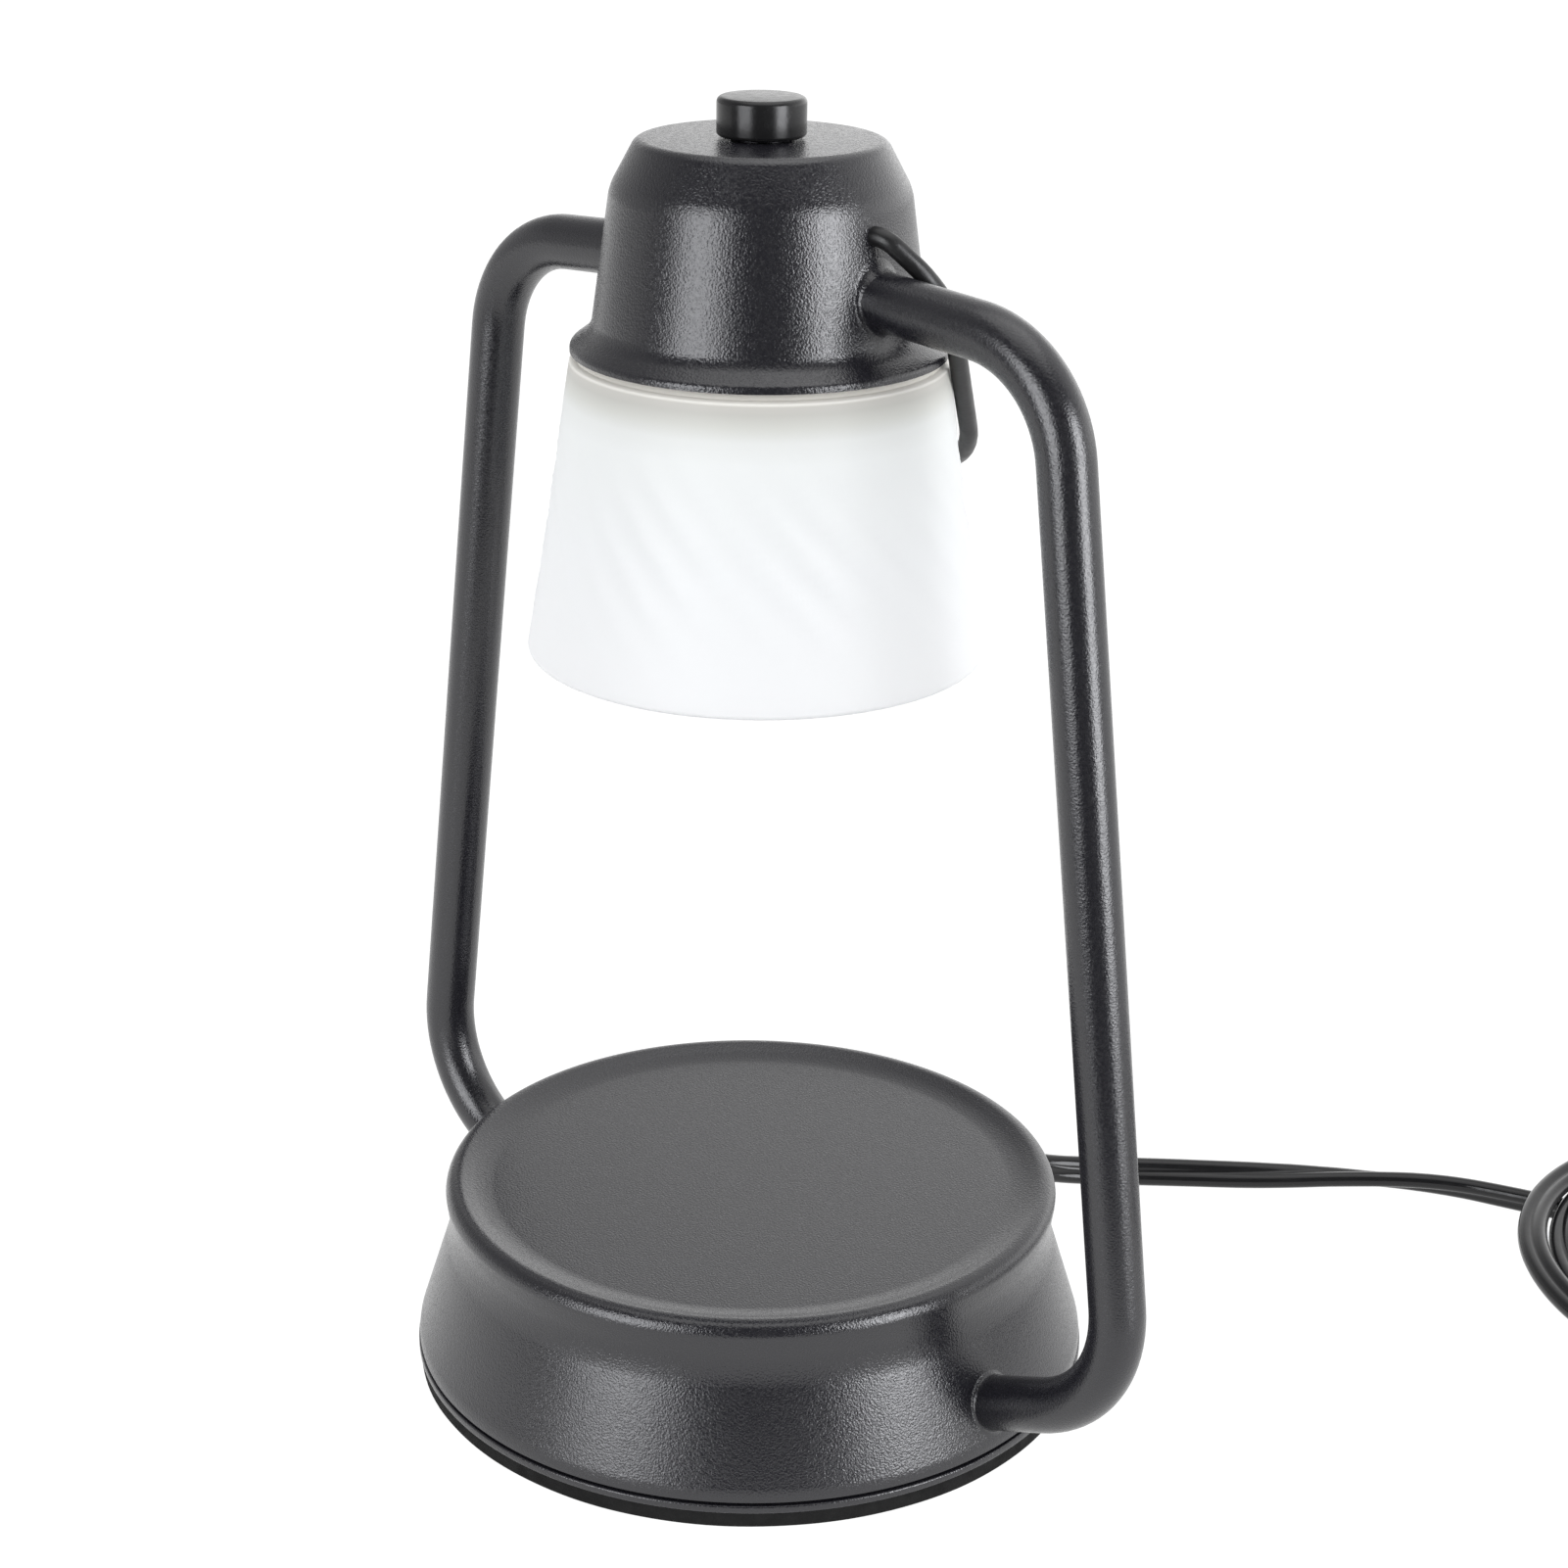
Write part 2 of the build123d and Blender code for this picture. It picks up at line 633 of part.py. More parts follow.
# ---------------------------------------------------------------- lampholder
screw_boss = yoke_screw_radius + yoke_screw_wall
contact_place = pin_spacing / 2 + pin_head_radius + contact_thickness / 2
with BuildPart() as lampholder:
    with BuildSketch(Plane.XY.offset(holder_barrel_bottom)):
        Circle(holder_barrel_radius)
    extrude(amount=flange_top - holder_barrel_bottom)
    with BuildSketch(Plane.XY.offset(flange_bottom)):
        Circle(holder_flange_radius)
    extrude(amount=holder_flange_thickness)
    with BuildSketch(Plane.XY.offset(flange_top)):
        Circle(holder_chamber_radius)
    extrude(amount=holder_top - flange_top)
    # bore for the insert and the bulb's base, and the wiring chamber above the web
    with BuildSketch(Plane.XY.offset(holder_barrel_bottom)):
        Circle(insert_radius + fit_gap / 2)
    extrude(amount=holder_web - fit_gap - holder_barrel_bottom, mode=Mode.SUBTRACT)
    with BuildSketch(Plane.XY.offset(holder_web + holder_wall)):
        Circle(holder_chamber_radius - holder_wall)
    extrude(amount=holder_top - 2 * holder_wall - holder_web, mode=Mode.SUBTRACT)
    # bosses under the top for the yoke's screws
    with BuildSketch(Plane.XY.offset(holder_top)):
        with Locations(*[(0, side * (yoke_leg - yoke_foot_length / 2)) for side in (1, -1)]):
            Circle(screw_boss)
    extrude(amount=-yoke_screw_grip)
    with BuildSketch(Plane.XY.offset(holder_top)):
        with Locations(*[(0, side * (yoke_leg - yoke_foot_length / 2)) for side in (1, -1)]):
            Circle(yoke_screw_radius)
    extrude(amount=-yoke_screw_grip, mode=Mode.SUBTRACT)
    # slots in the web for the contacts
    with BuildSketch(Plane.XY.offset(holder_web - fit_gap)):
        with Locations(*[(side * contact_place, 0) for side in (1, -1)]):
            Rectangle(contact_thickness + fit_gap, contact_width + fit_gap)
    extrude(amount=holder_wall + fit_gap, mode=Mode.SUBTRACT)
    # hole in the chamber's wall for the lead from the right tube
    with BuildSketch(
        Plane(
            origin=(
                holder_chamber_radius,
                0,
                arm_height(holder_chamber_radius, tube_top_axis_height, tube_shoulder),
            ),
            z_dir=(1, 0, 0),
        )
    ):
        Circle(lead_radius + fit_gap)
    extrude(amount=2 * holder_wall, both=True, mode=Mode.SUBTRACT)
lampholder.part.label = "lampholder"
export_step(lampholder.part, "parts/lampholder.step")

pin_places = [(side * pin_spacing / 2, 0) for side in (1, -1)]
contact_places = [(side * contact_place, 0) for side in (1, -1)]
pin_top = insert_bottom + pin_neck_length + pin_head_length
with BuildPart() as holder_insert:
    with BuildSketch(Plane.XY.offset(insert_bottom)):
        Circle(insert_radius)
    extrude(amount=holder_web - fit_gap - insert_bottom)
    # wells for the bulb's pins, open to the contacts
    with BuildSketch(Plane.XY.offset(insert_bottom)):
        with Locations(*pin_places):
            Circle(pin_head_radius + pin_clearance)
        with Locations(*contact_places):
            Rectangle(contact_thickness + fit_gap, contact_width + fit_gap)
    extrude(amount=holder_web - insert_bottom, mode=Mode.SUBTRACT)
holder_insert.part.label = "holder_insert"
export_step(holder_insert.part, "parts/holder_insert.step")

with BuildPart() as holder_contacts:
    with BuildSketch(Plane.XY.offset(insert_bottom + contact_foot)):
        with Locations(*contact_places):
            Rectangle(contact_thickness, contact_width)
    extrude(amount=holder_web + 2 * holder_wall - insert_bottom)
holder_contacts.part.label = "holder_contacts"
export_step(holder_contacts.part, "parts/holder_contacts.step")

# ---------------------------------------------------------------- reflector bulb
bulb_neck = insert_bottom - bulb_base_length
with BuildPart() as bulb_body:
    with BuildSketch(Plane.XZ):
        with BuildLine():
            Polyline(
                (0, insert_bottom),
                (bulb_base_radius, insert_bottom),
                (bulb_base_radius, bulb_neck),
            )
            TangentArc(
                (bulb_base_radius, bulb_neck),
                (bulb_radius, bulb_front + bulb_rim_height),
                tangent=bulb_flare,
            )
            Polyline(
                (bulb_radius, bulb_front + bulb_rim_height),
                (bulb_radius, bulb_front),
                (bulb_radius - bulb_wall, bulb_front),
                (bulb_radius - bulb_wall, bulb_front + bulb_rim_height),
                (bulb_base_radius - bulb_wall, bulb_neck),
                (0, bulb_neck),
                (0, insert_bottom),
            )
        make_face()
    revolve(axis=Axis.Z)
bulb_body.part.label = "bulb_body"
export_step(bulb_body.part, "parts/bulb_body.step")

with BuildPart() as bulb_lens:
    with BuildSketch(Plane.XY.offset(bulb_front)):
        Circle(bulb_radius - bulb_wall)
    extrude(amount=lens_thickness)
    fillet(bulb_lens.edges().group_by(Axis.Z)[0], lens_thickness / 2)
bulb_lens.part.label = "bulb_lens"
export_step(bulb_lens.part, "parts/bulb_lens.step")

with BuildPart() as bulb_pins:
    with BuildSketch(Plane.XY.offset(insert_bottom)):
        with Locations(*pin_places):
            Circle(pin_radius)
    extrude(amount=pin_neck_length)
    with BuildSketch(Plane.XY.offset(insert_bottom + pin_neck_length)):
        with Locations(*pin_places):
            Circle(pin_head_radius)
    extrude(amount=pin_head_length)
bulb_pins.part.label = "bulb_pins"
export_step(bulb_pins.part, "parts/bulb_pins.step")

# ---------------------------------------------------------------- glass shade, gasket and ring nut
shade_hole_radius = holder_barrel_radius + shade_hole_clearance
shade_middle = (
    (shade_lip_radius + shade_shoulder_radius) / 2 - shade_waist,
    (shade_bottom + shade_top - shade_shoulder_round) / 2,
)
with BuildPart() as glass_shade:
    with BuildSketch(Plane.XZ):
        with BuildLine():
            wall = ThreePointArc(
                (shade_lip_radius, shade_bottom),
                shade_middle,
                (shade_shoulder_radius, shade_top - shade_shoulder_round),
            )
            shoulder = TangentArc(
                wall @ 1,
                (shade_shoulder_radius - shade_shoulder_round, shade_top),
                tangent=wall % 1,
            )
            Line(shoulder @ 1, (shade_hole_radius, shade_top))
            offset(amount=shade_wall, side=Side.LEFT)
        make_face()
    revolve(axis=Axis.Z)
    # melted round lip
    lip = glass_shade.edges().filter_by(GeomType.CIRCLE).group_by(Axis.Z)[0:2]
    fillet([edge for level in lip for edge in level], shade_lip_round)
glass_shade.part.label = "glass_shade"
export_step(glass_shade.part, "parts/glass_shade.step")

with BuildPart() as shade_gasket:
    with BuildSketch(Plane.XY.offset(shade_top)):
        Circle(gasket_radius)
        Circle(shade_hole_radius, mode=Mode.SUBTRACT)
    extrude(amount=gasket_thickness)
shade_gasket.part.label = "shade_gasket"
export_step(shade_gasket.part, "parts/shade_gasket.step")

with BuildPart() as shade_ring:
    with BuildSketch(Plane.XY.offset(shade_top - shade_wall)):
        Circle(ring_nut_radius)
        Circle(holder_barrel_radius, mode=Mode.SUBTRACT)
        with PolarLocations(ring_nut_radius, ring_nut_notches):
            Circle(ring_nut_notch, mode=Mode.SUBTRACT)
    extrude(amount=-ring_nut_height)
shade_ring.part.label = "shade_ring"
export_step(shade_ring.part, "parts/shade_ring.step")

# ---------------------------------------------------------------- mains cord and its strain relief
skirt_at_cord = radius_on(skirt_knee, waist, max(cord_exit_height, skirt_knee[1]))
relief_tip = skirt_at_cord + relief_length_outside
relief_inside = skirt_at_cord - sheet - relief_length_inside
relief_seam = skirt_radius - sheet
cord_route = [
    (0, relief_seam, cord_exit_height),
    (0, relief_tip, cord_exit_height),
    (1.0, 100.5, 10.9),
    (4.3, 110.0, 7.6),
    (10.2, 119.4, 5.2),
    (20.0, 130.2, 3.85),
    (38.0, 145.2, 3.6),
    (55.0, 162.6, 3.6),
    (74.5, 176.6, 3.6),
    (94.3, 183.5, 3.6),
]


def route_radii(route, largest=straight_enough):
    """One arc for each corner of a route, as large as its two runs allow."""
    radii = []
    for before, corner, after in zip(route, route[1:], route[2:]):
        run_in = Vector(corner) - Vector(before)
        run_out = Vector(after) - Vector(corner)
        half_turn = math.radians(run_in.get_angle(run_out)) / 2
        radii.append(min(0.45 * min(run_in.length, run_out.length) / math.tan(half_turn), largest))
    return radii


with BuildPart() as strain_relief:
    with BuildSketch(Plane.XZ.offset(-relief_inside)):
        with Locations((0, cord_exit_height)):
            Circle(relief_root_radius)
    with BuildSketch(Plane.XZ.offset(-skirt_at_cord)):
        with Locations((0, cord_exit_height)):
            Circle(relief_root_radius)
    loft()
    with BuildSketch(Plane.XZ.offset(-skirt_at_cord)):
        with Locations((0, cord_exit_height)):
            Circle(relief_root_radius)
    with BuildSketch(Plane.XZ.offset(-relief_tip)):
        with Locations((0, cord_exit_height)):
            Circle(relief_tip_radius)
    loft()
    # flange outside the skirt and a catch inside it
    for wall_face, thickness in (
        (skirt_radius + fit_gap, relief_flange),
        (relief_inside, relief_flange),
    ):
        with BuildSketch(Plane.XZ.offset(-wall_face)):
            with Locations((0, cord_exit_height)):
                Circle(relief_flange_radius)
        extrude(amount=-thickness)
    # bore for the cord
    with BuildSketch(Plane.XZ.offset(-relief_inside)):
        with Locations((0, cord_exit_height)):
            Circle(cord_radius)
    extrude(amount=-(relief_tip - relief_inside), mode=Mode.SUBTRACT)
strain_relief.part.label = "strain_relief"
export_step(strain_relief.part, "parts/strain_relief.step")

cord_radii = route_radii(cord_route)
print("mains cord bend radii", [round(r, 1) for r in cord_radii])
with BuildPart() as mains_cord:
    with BuildLine() as lay:
        FilletPolyline(*cord_route, radius=cord_radii)
    with BuildSketch(Plane(origin=lay.line @ 0, z_dir=lay.line % 0)):
        Circle(cord_radius)
    sweep()
mains_cord.part.label = "mains_cord"
export_step(mains_cord.part, "parts/mains_cord.step")
print(
    "mains cord volume",
    round(mains_cord.part.volume),
    "section times length",
    round(math.pi * cord_radius**2 * sum(edge.length for edge in lay.edges())),
)

# the cord's end inside the base, through the strain relief to the connectors
connector_height = plate_top + cord_radius + fit_gap
tail_route = [
    (0, relief_seam, cord_exit_height),
    (0, relief_inside - tail_straight, cord_exit_height),
    (*tail_turn, connector_height + tail_turn_rise),
    (*tail_end, connector_height),
    (tail_end[0], connector_start + connector_length, connector_height),
]
with BuildPart() as cord_tail:
    with BuildLine() as lay_in:
        FilletPolyline(*tail_route, radius=route_radii(tail_route, tail_largest_bend))
    with BuildSketch(Plane(origin=lay_in.line @ 0, z_dir=lay_in.line % 0)):
        Circle(cord_radius)
    sweep()
cord_tail.part.label = "cord_tail"
export_step(cord_tail.part, "parts/cord_tail.step")

with BuildPart() as crimp_connectors:
    with BuildSketch(Plane.XZ.offset(-connector_start)):
        with Locations(*[(x, connector_height) for x in connector_places]):
            Circle(connector_radius)
    extrude(amount=-connector_length)
    fillet(crimp_connectors.edges().filter_by(GeomType.CIRCLE), connector_round)
crimp_connectors.part.label = "crimp_connectors"
export_step(crimp_connectors.part, "parts/crimp_connectors.step")

# lead from the connectors through the right tube to the lampholder
lead_height = arm_height(lead_low, tube_foot_axis_height, tube_hip)
with BuildPart() as riser_lead:
    with BuildLine() as climb:
        FilletPolyline(
            (
                holder_chamber_radius - holder_wall,
                0,
                arm_height(holder_chamber_radius, tube_top_axis_height, tube_shoulder),
            ),
            (tube_shoulder[0], 0, tube_shoulder[1]),
            (tube_hip[0], 0, tube_hip[1]),
            (lead_low, 0, lead_height),
            (tail_end[0], lead_floor_start, connector_height),
            (tail_end[0], connector_start, connector_height),
            radius=[tube_shoulder_bend, tube_hip_bend, lead_base_bend, lead_floor_bend],
        )
    with BuildSketch(Plane(origin=climb.line @ 0, z_dir=climb.line % 0)):
        Circle(lead_radius)
    sweep()
riser_lead.part.label = "riser_lead"
export_step(riser_lead.part, "parts/riser_lead.step")

# short leads between the dimmer and the lampholder
with BuildPart() as dimmer_leads:
    with BuildSketch(Plane.XY.offset(holder_top)):
        with Locations(*[(side * holder_chamber_radius / 2, 0) for side in (1, -1)]):
            Circle(dimmer_lead_radius)
    extrude(amount=dimmer_bottom - holder_top)
dimmer_leads.part.label = "dimmer_leads"
export_step(dimmer_leads.part, "parts/dimmer_leads.step")

# ---------------------------------------------------------------- spare cord and plug
with BuildPart() as cord_coil:
    with BuildSketch(Plane.XZ):
        with Locations(((coil_inner_radius + coil_outer_radius) / 2, coil_height / 2)):
            RectangleRounded(coil_outer_radius - coil_inner_radius, coil_height, coil_round)
    revolve(axis=Axis.Z)
cord_coil.part = cord_coil.part.moved(Location((*coil_centre, 0)))
cord_coil.part.label = "cord_coil"
export_step(cord_coil.part, "parts/cord_coil.step")

# the last stretch of cord, from the coil to the plug
end_route = [
    (246.2, 221.0, 3.6),
    (254.5, 205.5, 3.9),
    (259.0, 188.5, 5.4),
    (*plug_place, plug_thickness / 2 + plug_floor_gap),
]
with BuildPart() as cord_end:
    with BuildLine() as end_lay:
        FilletPolyline(*end_route, radius=route_radii(end_route))
    with BuildSketch(Plane(origin=end_lay.line @ 0, z_dir=end_lay.line % 0)):
        Circle(cord_radius)
    sweep()
cord_end.part.label = "cord_end"
export_step(cord_end.part, "parts/cord_end.step")

plug_axis_height = end_route[-1][2]
plug_back = plug_place[1] - plug_tail_length
plug_front = plug_back - plug_length
plug_plane = Plane(origin=(plug_place[0], 0, plug_axis_height), x_dir=(1, 0, 0), z_dir=(0, -1, 0))
with BuildPart() as plug_body:
    with BuildSketch(plug_plane.offset(-plug_front)):
        RectangleRounded(plug_width, plug_thickness, plug_round)
    extrude(amount=-plug_length)
    chamfer(plug_body.edges().group_by(Axis.Y)[-1], plug_back_chamfer)
    with BuildSketch(plug_plane.offset(-plug_back)):
        Circle(plug_tail_root)
    with BuildSketch(plug_plane.offset(-plug_place[1])):
        Circle(cord_radius)
    loft()
    # finger grips across both broad faces
    with BuildSketch(plug_plane.offset(-plug_back + plug_length / 3)):
        with Locations((0, plug_thickness / 2), (0, -plug_thickness / 2)):
            Rectangle(plug_width - 3 * plug_round, plug_grip_depth)
    extrude(amount=plug_grip_depth, mode=Mode.SUBTRACT)
plug_body.part.label = "plug_body"
export_step(plug_body.part, "parts/plug_body.step")

with BuildPart() as plug_blades:
    with BuildSketch(plug_plane.offset(-plug_front)):
        with Locations((blade_spacing / 2, 0), (-blade_spacing / 2, 0)):
            Rectangle(blade_thickness, blade_width)
    extrude(amount=blade_length)
    with BuildSketch(Plane.YZ.offset(plug_place[0])):
        with Locations((plug_front - blade_length + blade_hole_from_end, plug_axis_height)):
            Circle(blade_hole_radius)
    extrude(amount=blade_spacing, both=True, mode=Mode.SUBTRACT)
plug_blades.part.label = "plug_blades"
export_step(plug_blades.part, "parts/plug_blades.step")
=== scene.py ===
"""Candle warmer lamp: pressed base, two bent side tubes, bell cap with a rotary dimmer, frosted
glass shade over a reflector bulb, folding wire handle, and a twin lead with its spare length
wound in a loose coil.  Shapes are in millimetres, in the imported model's frame: +X along the
side tubes, +Y to the back, +Z up.
"""
import math

import bmesh
import bpy
from mathutils import Matrix, Vector


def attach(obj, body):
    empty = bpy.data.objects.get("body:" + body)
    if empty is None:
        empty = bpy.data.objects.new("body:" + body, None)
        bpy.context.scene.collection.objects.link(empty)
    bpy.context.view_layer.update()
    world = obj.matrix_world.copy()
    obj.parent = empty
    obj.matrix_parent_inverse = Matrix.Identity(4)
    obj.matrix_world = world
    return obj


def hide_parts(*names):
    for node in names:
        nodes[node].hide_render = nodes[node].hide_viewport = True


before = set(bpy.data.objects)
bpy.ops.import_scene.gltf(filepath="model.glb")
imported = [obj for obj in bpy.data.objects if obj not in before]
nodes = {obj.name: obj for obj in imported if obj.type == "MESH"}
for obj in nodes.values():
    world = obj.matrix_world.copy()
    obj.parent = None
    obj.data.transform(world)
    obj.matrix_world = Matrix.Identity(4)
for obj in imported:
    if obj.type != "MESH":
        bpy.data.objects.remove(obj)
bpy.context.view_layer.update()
mm = 0.001

# ---- studio ---------------------------------------------------------------------------------
# A pale floor that runs into a pale surround, two tall strip lamps beside the camera that draw
# the highlights, and a wide soft lamp at each side and overhead that lights the shade evenly.
# The camera stands a little above the lamp, to the right of its front.
eye = Vector((443.92, -452.40, 382.76)) * mm
aim = Vector((4.16, 4.08, 139.44)) * mm
camera_roll = 0.0133

camera_data = bpy.data.cameras.new("camera")
camera_data.sensor_width = 36
camera_data.lens = 71.30
camera_data.shift_x, camera_data.shift_y = 0.00144, 0.00037
camera_data.clip_start = 0.02
camera = bpy.data.objects.new("camera", camera_data)
bpy.context.scene.collection.objects.link(camera)
camera.matrix_world = (
    Matrix.Translation(eye)
    @ (aim - eye).to_track_quat("-Z", "Y").to_matrix().to_4x4()
    @ Matrix.Rotation(camera_roll, 4, "Z")
)
bpy.context.scene.camera = camera
bpy.context.scene.view_settings.view_transform = "Standard"


def soft_lamp(name, place, width, height, power, lights="both", towards=(0, 0, 0.13)):
    data = bpy.data.lights.new(name, "AREA")
    data.shape = "RECTANGLE"
    data.size, data.size_y, data.energy = width, height, power
    data.color = (0.96, 0.97, 1) if lights == "gloss" else (1, 1, 1)
    lamp = bpy.data.objects.new(name, data)
    lamp.location = place
    lamp.rotation_euler = (Vector(towards) - lamp.location).to_track_quat("-Z", "Y").to_euler()
    lamp.visible_diffuse = lights != "gloss"
    lamp.visible_glossy = lights != "surface"
    lamp.visible_camera = False
    bpy.context.scene.collection.objects.link(lamp)


soft_lamp("strip left", (0.02, -1.35, 0.36), 0.8, 1.1, 16, "gloss")
soft_lamp("strip right", (1.35, 0.16, 0.36), 0.66, 1.1, 22, "gloss")
soft_lamp("soft left", (-0.43, -1.5, 0.6), 1.6, 1.4, 6.3, "surface")
soft_lamp("soft right", (1.53, 0.33, 0.6), 1.6, 1.4, 12.5, "surface")
soft_lamp("soft above", (0.1, -0.1, 1.7), 1.5, 1.5, 7.5, "both")

# The surround is white to the camera and through glass.  Gloss sees it white at the back and
# sides, brightest low down and on the right, and dark behind the camera, where no lamp is lit.
world = bpy.data.worlds.new("surround")
bpy.context.scene.world = world
world.use_nodes = True
tree = world.node_tree
tree.nodes.clear()


def math_node(tree, operation, first, second):
    """Puts two values together, each of them a socket or a number."""
    node = tree.nodes.new("ShaderNodeMath")
    node.operation = operation
    for socket, value in zip(node.inputs, (first, second)):
        if isinstance(value, float):
            socket.default_value = value
        else:
            tree.links.new(value, socket)
    return node.outputs[0]


def mix(tree, share, first, second):
    """Mixes two shaders."""
    node = tree.nodes.new("ShaderNodeMixShader")
    for socket, value in zip(node.inputs, (share, first, second)):
        tree.links.new(value, socket)
    return node.outputs[0]


def facing(tree, direction, way):
    """How far a direction points one way, from -1 to 1."""
    dot = tree.nodes.new("ShaderNodeVectorMath")
    dot.operation = "DOT_PRODUCT"
    dot.inputs[1].default_value = Vector(way).normalized()
    tree.links.new(direction, dot.inputs[0])
    return dot.outputs["Value"]


def smooth_step(tree, value, start, end, at_start, at_end):
    """Turns a value into a smooth step from at_start to at_end."""
    step = tree.nodes.new("ShaderNodeMapRange")
    step.interpolation_type = "SMOOTHSTEP"
    step.inputs["From Min"].default_value = start
    step.inputs["From Max"].default_value = end
    step.inputs["To Min"].default_value = at_start
    step.inputs["To Max"].default_value = at_end
    tree.links.new(value, step.inputs["Value"])
    return step.outputs["Result"]


path = tree.nodes.new("ShaderNodeLightPath").outputs
direction = tree.nodes.new("ShaderNodeTexCoord").outputs["Generated"]
parts = tree.nodes.new("ShaderNodeSeparateXYZ")
tree.links.new(direction, parts.inputs[0])
surround = {}
for name, strength in (("seen", 1.0), ("gloss", 1.0), ("light", 0.67)):
    surround[name] = tree.nodes.new("ShaderNodeBackground")
    surround[name].inputs["Color"].default_value = (1, 1, 1, 1)
    surround[name].inputs["Strength"].default_value = strength
unlit = smooth_step(tree, facing(tree, direction, (eye.x, eye.y, 0)), -0.15, 0.5, 1.0, 0.07)
low_glow = smooth_step(tree, parts.outputs["Z"], 0.22, 0.5, 1.75, 1.1)
dim_left = smooth_step(tree, facing(tree, direction, (eye.y, -eye.x, 0)), -0.3, 0.5, 1.05, 0.35)
lit = math_node(tree, "MULTIPLY", math_node(tree, "MULTIPLY", unlit, low_glow), dim_left)
tree.links.new(lit, surround["gloss"].inputs["Strength"])
unseen = mix(
    tree, path["Is Glossy Ray"], surround["light"].outputs[0], surround["gloss"].outputs[0]
)
through = math_node(tree, "MAXIMUM", path["Is Camera Ray"], path["Is Transmission Ray"])
out = tree.nodes.new("ShaderNodeOutputWorld")
tree.links.new(mix(tree, through, unseen, surround["seen"].outputs[0]), out.inputs["Surface"])

# ---- floor ----------------------------------------------------------------------------------
# A smooth white table top that ends just in front of the lamp and runs back to the surround.
# It shows white where it is only lit, and keeps the soft shadow.
table_front, table_back, table_half = 0.26, 5.0, 5.0  # metres from the middle of the lamp
floor_glow, glow_share = 1.15, 0.86  # what is seen of the floor is mostly its own glow
floor_mesh = bmesh.new()
bmesh.ops.create_grid(floor_mesh, x_segments=1, y_segments=1, size=1)
floor_verts = floor_mesh.verts
floor_size = ((table_front + table_back) / 2, table_half, 1)
bmesh.ops.scale(floor_mesh, verts=floor_verts, vec=floor_size)
bmesh.ops.translate(floor_mesh, verts=floor_verts, vec=((table_front - table_back) / 2, 0, 0))
towards_eye = Matrix.Rotation(math.atan2(eye.y, eye.x), 3, "Z")
bmesh.ops.rotate(floor_mesh, verts=floor_verts, cent=(0, 0, 0), matrix=towards_eye)
floor_data = bpy.data.meshes.new("floor")
floor_mesh.to_mesh(floor_data)
floor = bpy.data.objects.new("floor", floor_data)
bpy.context.scene.collection.objects.link(floor)
white_top = bpy.data.materials.new("white table top")
white_top.use_nodes = True
tree = white_top.node_tree
tree.nodes.clear()
path = tree.nodes.new("ShaderNodeLightPath").outputs
paint = tree.nodes.new("ShaderNodeBsdfDiffuse")
paint.inputs["Color"].default_value = (0.9, 0.9, 0.9, 1)
glow = tree.nodes.new("ShaderNodeEmission")
glow.inputs["Strength"].default_value = floor_glow
seen = math_node(tree, "MAXIMUM", path["Is Camera Ray"], path["Is Glossy Ray"])
seen = math_node(tree, "MAXIMUM", seen, path["Is Transmission Ray"])
seen = math_node(tree, "MULTIPLY", seen, glow_share)
out = tree.nodes.new("ShaderNodeOutputMaterial")
tree.links.new(mix(tree, seen, paint.outputs[0], glow.outputs[0]), out.inputs["Surface"])
floor_data.materials.append(white_top)

# ---- mains lead -----------------------------------------------------------------------------
# A flat twin lead: two vinyl-covered cores side by side with a groove between them.  It leaves
# the back of the base, twists along the table, runs under its own coil and is wound clockwise
# into a loose coil of four turns before it goes to the plug.  1.8 m from the base to the plug.
lead_width, lead_thickness = 7.1, 3.9
lead_exit = (0, 0.0759, 0.0132)  # metres
coil_centre = (172.0, 194.0)
coil_inner, coil_growth, coil_wander = 50.5, 22.5, 1.6
stack_low, stack_rise, stack_wander = 3.3, 7.2, 0.8
stack_floor, stack_top = 2.6, 11.0
lead_route = [  # x, y, height and roll in degrees
    (0, 75.9, 13.2, 0),
    (0, 88.5, 13.0, 20),
    (0.8, 98.0, 9.8, 40),
    (3.8, 107.6, 6.1, 55),
    (9.8, 117.8, 4.1, 60),
    (20.0, 129.2, 3.4, 58),
    (38.0, 145.2, 3.3, 40),
    (55.0, 162.6, 2.8, -15),
    (74.5, 176.6, 3.2, -50),
    (94.3, 183.5, 3.4, -65),
    (110.0, 188.5, 3.4, -60),
    (124.0, 201.0, 3.2, -45),
    (134.0, 220.0, 2.8, -25),
    (148.0, 237.0, 2.6, -10),
]
first_turn, last_turn, turn_step = 92, 20 - 4 * 360, 24  # degrees
roll_range = 25
turn_count = (first_turn - last_turn) // turn_step
for step in range(turn_count + 1):
    share = step / turn_count
    turned_to = first_turn - (first_turn - last_turn) * step / turn_count
    angle = math.radians(turned_to)
    radius = coil_inner + coil_growth * share**1.15
    radius += coil_wander * math.sin(math.radians(2.3 * turned_to + 40))
    height = stack_low + stack_rise * min(1, share * 1.25) + stack_wander * math.sin(1.7 * angle)
    lead_route.append(
        (
            coil_centre[0] + radius * math.cos(angle),
            coil_centre[1] + radius * math.sin(angle),
            min(max(height, stack_floor), stack_top),
            roll_range * math.sin(1.3 * angle),
        )
    )
lead_route += [
    (254.5, 205.5, 4.6, 10),
    (259.0, 188.5, 5.4, 0),
    (259.6, 171.5, 6.9, 0),
]


